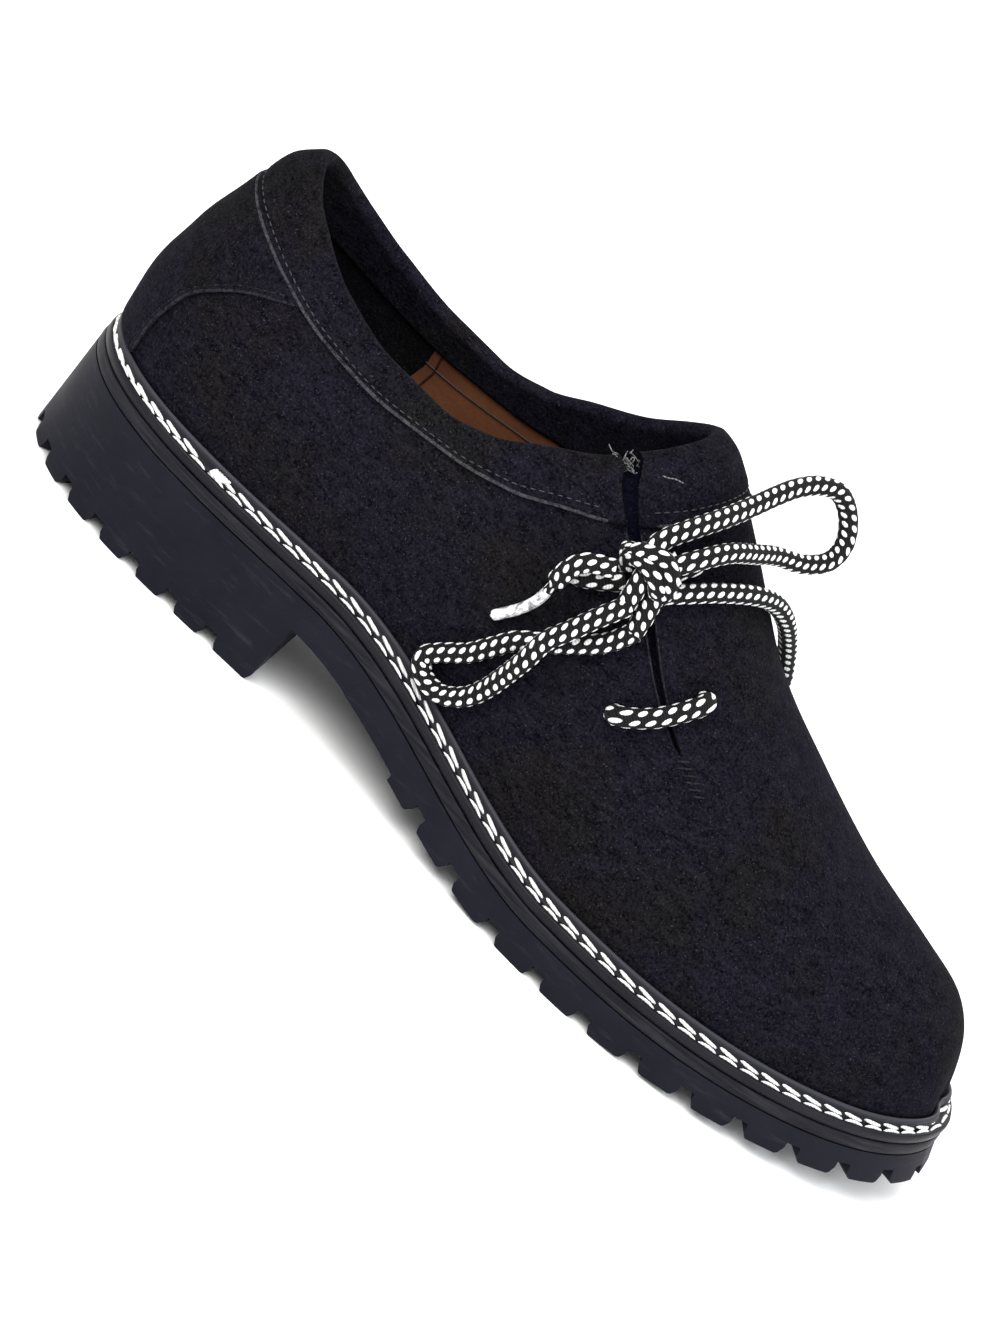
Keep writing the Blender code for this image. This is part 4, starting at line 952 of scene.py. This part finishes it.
def make_collar_band():
    """The band round the topline, folded over the edge and faced inside."""
    t = np.linspace(0.0, 1.0, 24)
    swell = (0.0004 * np.sin(np.pi * np.clip((t - 0.10) / 0.9, 0, 1))
             - 0.0003 * np.exp(-((t - 0.13) / 0.045) ** 2))
    depth = WALL + BAND_LIFT + 0.0006
    middle, half = (BAND_LIFT - depth) / 2, (BAND_LIFT + depth) / 2
    rows = [(BAND_LEVEL, CLEARANCE)] + list(zip(BAND_LEVEL + (1.0 - BAND_LEVEL) * t, BAND_LIFT + swell))
    rows += [(1.0 + 0.030 * np.sin(a), middle + half * np.cos(a)) for a in np.linspace(0.0, np.pi, 9)[1:-1]]
    rows += [(level, -depth) for level in np.linspace(1.0, FACING_LEVEL, 16)]
    rows = np.array(rows + [(FACING_LEVEL, -WALL - CLEARANCE)])
    level, lift = rows[:, :1], rows[:, 1:]
    ring = open_ring(np.clip(rows[:, 0], 0.0, 1.0))
    outer = np.clip((lift + WALL) / WALL, 0.0, 1.0)
    ring, level = np.broadcast_arrays(ring, level)
    points = offset_surface(ring, level, lift + upper_lift(ring, np.clip(level, 0, 1)) * outer)
    first = [row * RING_COLUMNS for row in range(len(rows))]
    caps = [first[::-1], [i + RING_COLUMNS - 1 for i in first]]
    closing = [[first[-1] + c, first[-1] + c + 1, c + 1, c] for c in range(RING_COLUMNS - 1)]
    add_piece("collar_band_suede", points.reshape(-1, 3), grid_faces(*ring.shape) + caps + closing, SUEDE,
              "suede", "collar_band", stack(ring, level).reshape(-1, 2))


def make_lining():
    """Brown leather inside the front half and black facing in the heel, meeting at a sloping edge."""
    levels = np.linspace(0.06, FACING_LEVEL + 0.03, 30)
    rear = lining_edge(levels)
    quarter, vamp = slit_edges(levels)
    for name, low, high, material, slot, depth in (
            ("lining_outer", 2.0 - rear, quarter - LINING_GAP, LINING, "lining", WALL + 0.0002),
            ("lining_inner", vamp + LINING_GAP, rear, LINING, "lining", WALL + 0.0002),
            ("lining_heel", rear - 2.0 - 0.004, 2.0 - rear + 0.004, FACING, "suede", WALL + 0.0001)):
        ring = low[:, None] + (high - low)[:, None] * np.linspace(0.0, 1.0, 90)
        shell(name, ring, levels[:, None], -depth, -depth - 0.0006, material, slot)
    edge_levels = np.linspace(0.30, FACING_LEVEL, 20)
    rear_seam = np.column_stack((lining_edge(edge_levels) - 0.011, edge_levels))
    for name, seam in (("lining_seam", np.array(LINING_SEAM)), ("lining_rear_seam", rear_seam)):
        mirrored = np.column_stack((2.0 - seam[:, 0], seam[:, 1]))
        for side, route in (("_inner", seam), ("_outer", mirrored)):
            surface_line(name + side, route, 0.00032, -(WALL + 0.0009), SEAM_LEATHER, "lining")


def lining_edge(levels):
    """Where the brown lining ends on the inner side of the ring."""
    return 1.555 + (FACING_LEVEL - levels) * 0.31


def make_gusset():
    """The blue-black strip behind the slit."""
    levels = np.linspace(SLIT_END - 0.10, 0.985, 44)[:, None]
    share = np.linspace(-1.0, 1.0, 25)
    middle = read_table(SLIT, 1, levels)
    ring = middle + TONGUE_MARGIN / ring_width(middle, levels) * share
    lift = 0.0004 * np.cos(share * 2.4) * np.sin(levels * 55.0) - (WALL + FACET_CLEARANCE + 0.0004)
    shell("gusset_suede", ring, levels, lift, lift - TONGUE_THICKNESS, GUSSET, "gusset", "tongue")


def make_heel_counter():
    """The piece over the heel's back with its raised, stitched edge."""
    levels = np.linspace(COUNTER_FOOT + 0.012, BAND_LEVEL - 0.004, 60)[:, None]
    shares = np.sin(np.linspace(-1.0, 1.0, 121) * np.pi / 2)
    ring = read_table(COUNTER, 1, levels) * shares
    edge = 1 - np.abs(shares)
    rounding = 0.0005 * np.clip(1 - edge / 0.02, 0.0, 1.0) ** 2
    groove = 0.0003 * np.exp(-((edge - 0.05) / 0.016) ** 2)
    outer = folds(ring % 2.0, levels + 0.0 * ring) + COUNTER_LIFT - rounding - groove
    shell("heel_piece_suede", ring, levels, outer, 0.0001, SUEDE, "suede", "heel_counter")


def surface_line(name, route, radius, lift, material, slot):
    """A thin raised line over the upper along a route of ring and level rows."""
    ring, level = smooth_path(route, 0.002).T
    raised = lift + (upper_lift(ring % 2.0, level) if lift > 0 else np.zeros(len(ring)))
    path = smooth_path(offset_surface(ring, level, raised), 0.0008)
    points, faces, maps = tube(path, radius, sides=8, round_ends=True)
    weld(add_piece(name, points, faces, material, slot, None, maps))


def surface_stitches(name, route, pitch, length, width, lift, material, slot):
    """A row of small stitches along a route of ring and level rows."""
    dense = smooth_path(route, 0.002)
    arcs = arc_lengths(offset_surface(dense[:, 0], dense[:, 1], np.full(len(dense), lift)))
    made = []
    for start in np.arange(0.0, arcs[-1] - length, pitch):
        ring, level = at_arcs(dense, arcs, (start, start + length)).T
        ends = offset_surface(ring, level, np.full(2, lift + upper_lift(ring[:1], level[:1])[0]))
        made.append(stitch(*ends, normals(ring[0], min(level[0], 0.99)), width))
    join_stitches(name, made, material, slot)


def make_seams():
    """Thread seen on the suede: band edge, heel piece, slit edges and the tack under the slit."""
    around = np.linspace(0.812, 2.0 + 0.750, 200)
    surface_stitches("band_seam", np.column_stack((around, np.full(200, BAND_LEVEL + 0.030))), 0.0024, 0.0016,
                     0.00040, BAND_LIFT - 0.0002, DARK_THREAD, "suede")
    surface_line("band_edge_line", np.column_stack((around, np.full(200, BAND_LEVEL + 0.002))), 0.00048,
                 BAND_LIFT - 0.0001, SUEDE_EDGE, "suede")
    levels = np.linspace(COUNTER_FOOT + 0.02, BAND_LEVEL - 0.012, 60)
    for side, name in ((1.0, "heel_seam_outer"), (-1.0, "heel_seam_inner")):
        reach = read_table(COUNTER, 1, levels) * side
        surface_stitches(name, np.column_stack((reach * 0.955, levels)), 0.0022, 0.0018, 0.00036,
                         COUNTER_LIFT - 0.0003, COUNTER_EDGE, "suede")
        surface_line(name + "_edge", np.column_stack((reach * 0.992, levels)), 0.00055,
                     FACET_CLEARANCE + COUNTER_THICKNESS * 0.4, COUNTER_EDGE, "suede")
    tack = []
    for number in range(6):
        level = SLIT_END - 0.004 - 0.008 * number
        half = 0.007 + 0.002 * (number % 2)
        ends = offset_surface(SLIT_END_RING + np.array((-half, half)), np.full(2, level), np.full(2, 0.0001))
        tack.append(stitch(*ends, normals(SLIT_END_RING, level), 0.0006))
    join_stitches("slit_tack", tack, COUNTER_EDGE, "suede")
    levels = np.linspace(SLIT_END + 0.04, BAND_LEVEL - 0.01, 30)
    quarter, vamp = slit_edges(levels)
    for name, edge, radius, lift in (("slit_edge_quarter", quarter - 0.0015, 0.00030, 0.0002),
                                     ("slit_edge_vamp", vamp + 0.0015, 0.00026, 0.0001)):
        surface_line(name, np.column_stack((edge, levels)), radius, lift, COUNTER_EDGE, "suede")


def make_loose_threads():
    """Frayed thread ends where the slit meets the topline, and a stray one beside it."""
    random = np.random.default_rng(7)
    threads = []
    for _ in range(26):
        start = offset_surface(random.uniform(0.768, 0.818), 0.985, -0.0012)
        reach = np.cumsum(random.normal(0.0, 0.0011, (4, 3)) + (0.0, 0.0, 0.0004), axis=0)
        threads.append(tube(smooth_path(np.vstack((start, start + reach)), 0.0003), 0.00016, sides=6))
    stray = along_upper([(ring, level, BAND_LIFT + 0.0005) for ring, level in
                         ((0.833, 0.935), (0.842, 0.925), (0.851, 0.920), (0.862, 0.905))])
    threads.append(tube(smooth_path(stray, 0.0003), 0.00018, sides=6))
    join_stitches("slit_loose_threads", threads, FRAYED_THREAD, "suede")


make_upper()
make_collar_band()
make_lining()
make_gusset()
make_heel_counter()
make_seams()
make_loose_threads()


# Sole


def edge_loop(count):
    """Points round the sole's edge at even steps, each with its place on the ring and the way in."""
    closed = np.vstack((EDGE.curve, EDGE.curve[:1]))
    arcs = arc_lengths(closed)
    places = np.linspace(0.0, arcs[-1], count, endpoint=False)
    points = at_arcs(closed, arcs, places)
    share = np.clip((points[:, 0] - EDGE.back) / (EDGE.front - EDGE.back), 0.0, 1.0)
    ring = np.arccos(1 - 2 * share) / np.pi
    ring = np.where(np.arange(count) <= points[:, 0].argmax(), ring, 2.0 - ring)
    return points, ring, inward(unit(np.roll(points, -1, 0) - np.roll(points, 1, 0))), places


def sole_band(name, rows, places, material, slot, replaced):
    """A band round the sole's edge, closed both ways, from its rows of points and the places round it."""
    rows = np.array(rows)
    count = rows.shape[1]
    here, beside = np.arange(count), (np.arange(count) + 1) % count
    first = np.arange(len(rows))[:, None] * count
    faces = stack(first + here, first + beside, first + beside + count, first + here + count)
    faces = faces % (len(rows) * count)
    maps = stack(places, np.linspace(0.0, 1.0, len(rows))[:, None]).reshape(-1, 2)
    add_piece(name, rows.reshape(-1, 3), faces.reshape(-1, 4).tolist(), material, slot, replaced, maps)


def make_midsole():
    """The layer between welt and outsole, with softened edges."""
    top, bottom, soft = -CLEARANCE, -MIDSOLE_THICKNESS, 0.0003
    points, _, way_in, places = edge_loop(BAND_COLUMNS)
    rows = []
    for distance, height in (
            (0.012, bottom), (soft, bottom), (soft * 0.3, bottom + soft * 0.3), (0.0, bottom + soft),
            (-0.0002, (top + bottom) / 2), (0.0, top - soft), (soft * 0.3, top - soft * 0.3), (soft, top),
            (0.012, top)):
        rows.append(bend(*(points + way_in * distance).T, height))
    sole_band("midsole_edge", rows, places, MIDSOLE, "midsole", "midsole")


def welt_rows(ring, edge_points, way_in):
    """Rows of points round the welt's cross-section, up over its ledge and lip and down its inside."""

    def beside(height, distance):
        point, out = foot(ring, height)
        return point + out * distance

    def ledge(distance, height):
        return bend(*(edge_points + way_in * distance).T, height)

    corner, edge_top = beside(WELT_EDGE + 0.0004, 0.0024), ledge(0.0005, WELT_EDGE)
    low = np.array((0.0, 0.0, 0.00035))
    return [ledge(0.0, CLEARANCE), ledge(-0.0001, WELT_EDGE * 0.5), ledge(0.0, WELT_EDGE - 0.0006),
            ledge(0.00018, WELT_EDGE - 0.00015), edge_top, edge_top * 0.7 + corner * 0.3,
            (corner + edge_top) / 2 - low * 0.6, edge_top * 0.25 + corner * 0.75 - low, corner,
            beside(WELT_EDGE + 0.0012, 0.0021), beside(WELT_LIP * 0.68, 0.0019),
            beside(WELT_LIP - 0.0006, 0.0018), beside(WELT_LIP - 0.0001, 0.0015),
            beside(WELT_LIP + 0.0001, 0.0010), beside(WELT_LIP - 0.0004, 0.0004), beside(0.0012, 0.0003)]


def make_welt():
    """The welt with its standing lip."""
    points, ring, way_in, places = edge_loop(BAND_COLUMNS)
    sole_band("welt_strip", welt_rows(ring, points, way_in), places, WELT, "welt", "welt")


STITCH_PITCH = 0.0066
WELT_JOINT = 0.047


def make_welt_stitches():
    """Two rows of white thread, slanted on the lip's foot and arched on the ledge, and their joint."""
    count = BAND_COLUMNS * 3
    points, ring, way_in, places = edge_loop(count)
    rows = welt_rows(ring, points, way_in)
    lip, ledge = rows[9] * 0.55 + rows[10] * 0.45, rows[4] * 0.66 + rows[8] * 0.34
    total = places[-1] + places[1]
    number = int(round(total / STITCH_PITCH))
    pitch = total / number
    for name, row, start, length, width, bow, slant, tilt in (
            ("welt_stitches_upper", lip, 0.0, 0.94, 0.00112, -0.0002, -0.0009, (0.8, 0.6)),
            ("welt_stitches_lower", ledge, 0.82, 0.88, 0.00088, 0.0003, -0.0002, (0.25, 0.97))):
        stitches = []
        for index in range(number):
            a, b = (int((index + start + step) * pitch / total * count) % count for step in (0.0, length))
            if WELT_JOINT - 0.006 < row[a, 0] < WELT_JOINT and row[a, 1] < 0:
                continue
            out = unit(np.array((*(-way_in[a] * tilt[0]), tilt[1])))
            stitches.append(stitch(row[a], row[b], out, width, bow, slant))
        join_stitches(name, stitches, WHITE_THREAD, "welt")
    a = int(EDGE.arc_at(WELT_JOINT, -1) / total * count)
    knot = [stitch(lip[a + 2 * step] + (0, 0, 0.0008), ledge[a + step] + (0, 0, 0.0003),
                   np.array((0.0, -0.8, 0.6)), 0.0013) for step in range(6)]
    join_stitches("welt_joint_thread", knot, WHITE_THREAD, "welt")


def make_insole():
    """The leather footbed, slightly dished."""
    outline = FEATHER.inset(WALL + CLEARANCE)
    xs, outer, inner = (row[:, None] for row in outline.rungs(outline.back, outline.front))
    across = np.sin(np.linspace(-1.0, 1.0, 25) * np.pi / 2)
    ys = (outer + inner) / 2 + (inner - outer) / 2 * across
    top = bend(xs, ys, INSOLE_THICKNESS + 0.0008 * np.abs(across) ** 4 - 0.0004)
    points = np.reshape((bend(xs, ys, CLEARANCE), top), (-1, 3))
    sharpen(add_piece("footbed", points, thick_faces(*ys.shape), FOOTBED, "lining", "insole"), 50.0)


def boxes(name, corner_sets):
    """Separate six-sided blocks as a hidden cutter: four corners below, then four above them, per block."""
    sides = [(3, 2, 1, 0), (4, 5, 6, 7)] + [(i, (i + 1) % 4, 4 + (i + 1) % 4, 4 + i) for i in range(4)]
    faces = [[8 * block + i for i in side] for block in range(len(corner_sets)) for side in sides]
    return plain_mesh(name, [corner for corners in corner_sets for corner in corners], faces)


def ladder(name, outline, top, bottom, start=None, end=None):
    """A sole layer between two heights, made of rungs from edge to edge that follow the seat line."""
    xs, outer, inner = outline.rungs(outline.back if start is None else start,
                                     outline.front if end is None else end)
    rows = np.stack((bend(xs, outer, top(xs)), bend(xs, inner, top(xs)),
                     bottom(xs, inner), bottom(xs, outer)), axis=1)
    last = 4 * (STATIONS - 1)
    faces = [[0, 1, 2, 3], [last + 3, last + 2, last + 1, last]]
    for here in range(0, last, 4):
        faces += [[here + 4 + i, here + 4 + (i + 1) % 4, here + (i + 1) % 4, here + i] for i in range(4)]
    return plain_mesh(name, rows.reshape(-1, 3), faces)


def under(x, y, height):
    """A point under the fore part, where the sole thins and flares out to the toe."""
    share = toe_share(x)
    point = bend(x, y, height + TOE_THINNING * share)
    point[..., 0] += TOE_FLARE * share
    return point


def sole_underside(x, y):
    """The outsole's lowest face: on the floor under the heel, then square to the seat line under the lugs."""
    fore = under(x, y, SOLE_BASE - LUG_DEPTH)
    back = np.clip(1 - x / HEEL_LENGTH, 0.0, 1.0)
    narrowing = 1 - HEEL_TAPER / (BALL_WIDTH / 2)
    heel = np.stack((x + HEEL_TAPER * back, y * narrowing, np.zeros_like(x)), axis=-1)
    return np.where((x < (HEEL_LENGTH + TREAD_START) / 2)[:, None], heel, fore)


def arch_cutter():
    """What is open under the arch, from the heel's breast to the first lug."""
    margin = 0.010
    roof = [bend(x, 0.0, -MIDSOLE_THICKNESS - ARCH_THICKNESS)
            for x in np.linspace(TREAD_START, HEEL_LENGTH, 24)]
    front = bend(TREAD_START, 0.0, SOLE_BASE - LUG_DEPTH - margin)
    profile = [(front[0], -margin)] + [(x, z) for x, _, z in [front] + roof] + [(HEEL_LENGTH, -margin)]
    count = len(profile)
    points = [(x, side * BALL_WIDTH, z) for side in (-1, 1) for x, z in profile]
    faces = [list(range(count)), list(range(2 * count - 1, count - 1, -1))]
    faces += [[(i + 1) % count, i, count + i, count + (i + 1) % count] for i in range(count)]
    return plain_mesh("arch_cutter", points, faces)


def notch_corners(point, along, low, high, spread=0.0):
    """A notch's block: in from the sole's edge, straight at the back, flared at the front, spread below."""
    outside, inside = point - inward(along) * 0.006, point + inward(along) * LUG_REACH
    half = NOTCH_WIDTH / 2
    corners = []
    for at_height, rear, front in ((low, half + spread, half + NOTCH_FLARE + spread), (high, half, half)):
        corners += [at_height(*(side + along * reach)) for side, reach in
                    ((outside, -rear), (outside, front), (inside, front), (inside, -rear))]
    return corners


def notch_blocks(places, at_height, ground):
    """The blocks of notches in a tread, each with two more that round the lugs' corners."""
    low, blocks = at_height(ground - BELOW_SOLE), []
    for point, along in places:
        for rise, slope in ((LUG_DEPTH, 0.0),) + LUG_ROUNDING:
            blocks.append(notch_corners(point, along, low, at_height(ground + rise),
                                        slope * (rise + BELOW_SOLE)))
    return blocks


def breast_blocks():
    """The blocks that round the heel's front edge."""
    front, side, blocks = HEEL_LENGTH + 0.002, BALL_WIDTH, []
    for rise, slope in LUG_ROUNDING:
        low = HEEL_LENGTH - slope * (rise + BELOW_SOLE)
        blocks.append([(x, y, z) for rear, z in ((low, -BELOW_SOLE), (HEEL_LENGTH, rise))
                       for x, y in ((rear, -side), (front, -side), (front, side), (rear, side))])
    return blocks


def lug_blocks(name, centres, low, high):
    """Blocks across the middle of the tread."""
    half, side = CENTRE_LUG_LENGTH / 2, CENTRE_LUG_WIDTH / 2
    blocks = []
    for x in centres:
        middle = (EDGE.edge(x, -1) + EDGE.edge(x, 1)) / 2
        plan = [(x + a * half, middle + b * side) for a, b in ((-1, -1), (1, -1), (1, 1), (-1, 1))]
        blocks.append([at_height(*p) for at_height in (low, high) for p in plan])
    return boxes(name, blocks)


def fore_at(height):
    """What gives the point under the fore part at a height from the seat line."""
    return lambda x, y: tuple(under(x, y, height))


def heel_at(height):
    """What gives the point under the heel at a height over the floor."""
    return lambda x, y: (x, y, height)


def cut(piece, cutter, operation="DIFFERENCE", use_self=False):
    """Cut a piece with a cutter, or join it to one, and drop the cutter."""
    modifier = piece.modifiers.new(cutter.name, "BOOLEAN")
    modifier.operation = operation
    modifier.object = cutter
    modifier.solver = "EXACT"
    modifier.use_self = use_self
    bpy.context.view_layer.update()
    bpy.context.view_layer.objects.active = piece
    with bpy.context.temp_override(object=piece, active_object=piece):
        bpy.ops.object.modifier_apply(modifier=modifier.name)
    bpy.data.objects.remove(cutter, do_unlink=True)


def make_outsole():
    """Heel, arch and lugs in one moulding with rounded lug edges."""
    sole = ladder("outsole_rubber", EDGE, lambda x: np.full_like(x, -MIDSOLE_THICKNESS - CLEARANCE),
                  sole_underside)
    cut(sole, arch_cutter())
    tread, half_pitch = SOLE_BASE - LUG_DEPTH, NOTCH_PITCH / 2
    fore = EDGE.walk(EDGE.arc_at(TREAD_START + NOTCH_PITCH * 0.7, -1),
                     EDGE.arc_at(TREAD_START + half_pitch, 1), NOTCH_PITCH)
    breast = HEEL_LENGTH - FIRST_HEEL_NOTCH
    heel = (EDGE.walk(EDGE.arc_at(breast, -1), 0.0, -HEEL_NOTCH_PITCH)
            + EDGE.walk(EDGE.arc_at(breast, 1), EDGE.arcs[-1], HEEL_NOTCH_PITCH))
    notches = notch_blocks(fore, fore_at, tread) + breast_blocks() + notch_blocks(heel, heel_at, 0.0)
    cut(sole, boxes("notch_cutter", notches), use_self=True)

    field = EDGE.inset(LUG_REACH - FIELD_ROOT)
    cut(sole, ladder("fore_field_cutter", field,
                     lambda x: SOLE_BASE - FIELD_ROOT + TOE_THINNING * toe_share(x),
                     lambda x, y: under(x, y, tread - BELOW_SOLE), start=TREAD_START + half_pitch))
    cut(sole, ladder("heel_field_cutter", field,
                     lambda x: np.full_like(x, LUG_DEPTH - FIELD_ROOT - HEEL_SEAT),
                     lambda x, y: stack(x, y, -BELOW_SOLE), end=HEEL_LENGTH - FIRST_HEEL_NOTCH / 2))
    for name, start, end, pitch, at_height, low, high in (
            ("fore_lugs", (BALL_START + BALL_END) / 2 - 2 * CENTRE_LUG_PITCH, field.front - CENTRE_LUG_PITCH,
             CENTRE_LUG_PITCH, fore_at, tread, SOLE_BASE + LUG_OVERLAP),
            ("heel_lugs", HEEL_LENGTH - 2 * CENTRE_LUG_PITCH, field.back + CENTRE_LUG_PITCH / 2,
             -CENTRE_LUG_PITCH, heel_at, 0.0, LUG_DEPTH + LUG_OVERLAP)):
        cut(sole, lug_blocks(name, np.arange(start, end, pitch), at_height(low), at_height(high)), "UNION")
    rounding = sole.modifiers.new("rounded_edges", "BEVEL")
    rounding.width = EDGE_ROUNDING
    rounding.segments = 2
    rounding.limit_method = "ANGLE"
    rounding.angle_limit = np.radians(35)
    sharpen(dress(sole, RUBBER, "rubber", "outsole"), 40.0)


make_midsole()
make_welt()
make_welt_stitches()
make_insole()
make_outsole()


# Floor and light


def make_floor():
    """A wide pale floor under the sole."""
    half = 3.0
    mesh = bpy.data.meshes.new("floor")
    mesh.from_pydata([(-half, -half, 0.0), (half, -half, 0.0), (half, half, 0.0), (-half, half, 0.0)], [],
                     [[0, 1, 2, 3]])
    mesh.materials.append(Nodes("pale_floor", Roughness=0.9, Base_Color=(0.93, 0.93, 0.93, 1.0)).material)
    place_object("floor", mesh)


def make_lights():
    """Soft studio light: a bright surround, a large key from above the outer side, and a fill."""
    world = bpy.data.worlds.new("studio")
    bpy.context.scene.world = world
    world.use_nodes = True
    background = world.node_tree.nodes["Background"]
    background.inputs["Color"].default_value = (1.0, 1.0, 1.0, 1.0)
    background.inputs["Strength"].default_value = 1.0
    bpy.context.scene.view_settings.view_transform = "Standard"
    for name, place, size, power, colour in (
            ("key", (-0.35, -0.75, 0.95), 0.9, 16.0, (1.0, 0.99, 0.97)),
            ("fill", (0.8, -0.5, 0.55), 0.8, 6.0, (0.92, 0.95, 1.0)),
            ("back", (0.1, 0.9, 0.9), 0.9, 8.0, (1.0, 1.0, 1.0))):
        data = bpy.data.lights.new(name, "AREA")
        data.size = size
        data.energy = power
        data.color = colour
        light = place_object(name, data)
        light.location = place
        light.rotation_euler = (Vector((0.0, 0.0, 0.04)) - Vector(place)).to_track_quat("-Z", "Y").to_euler()


make_floor()
make_lights()
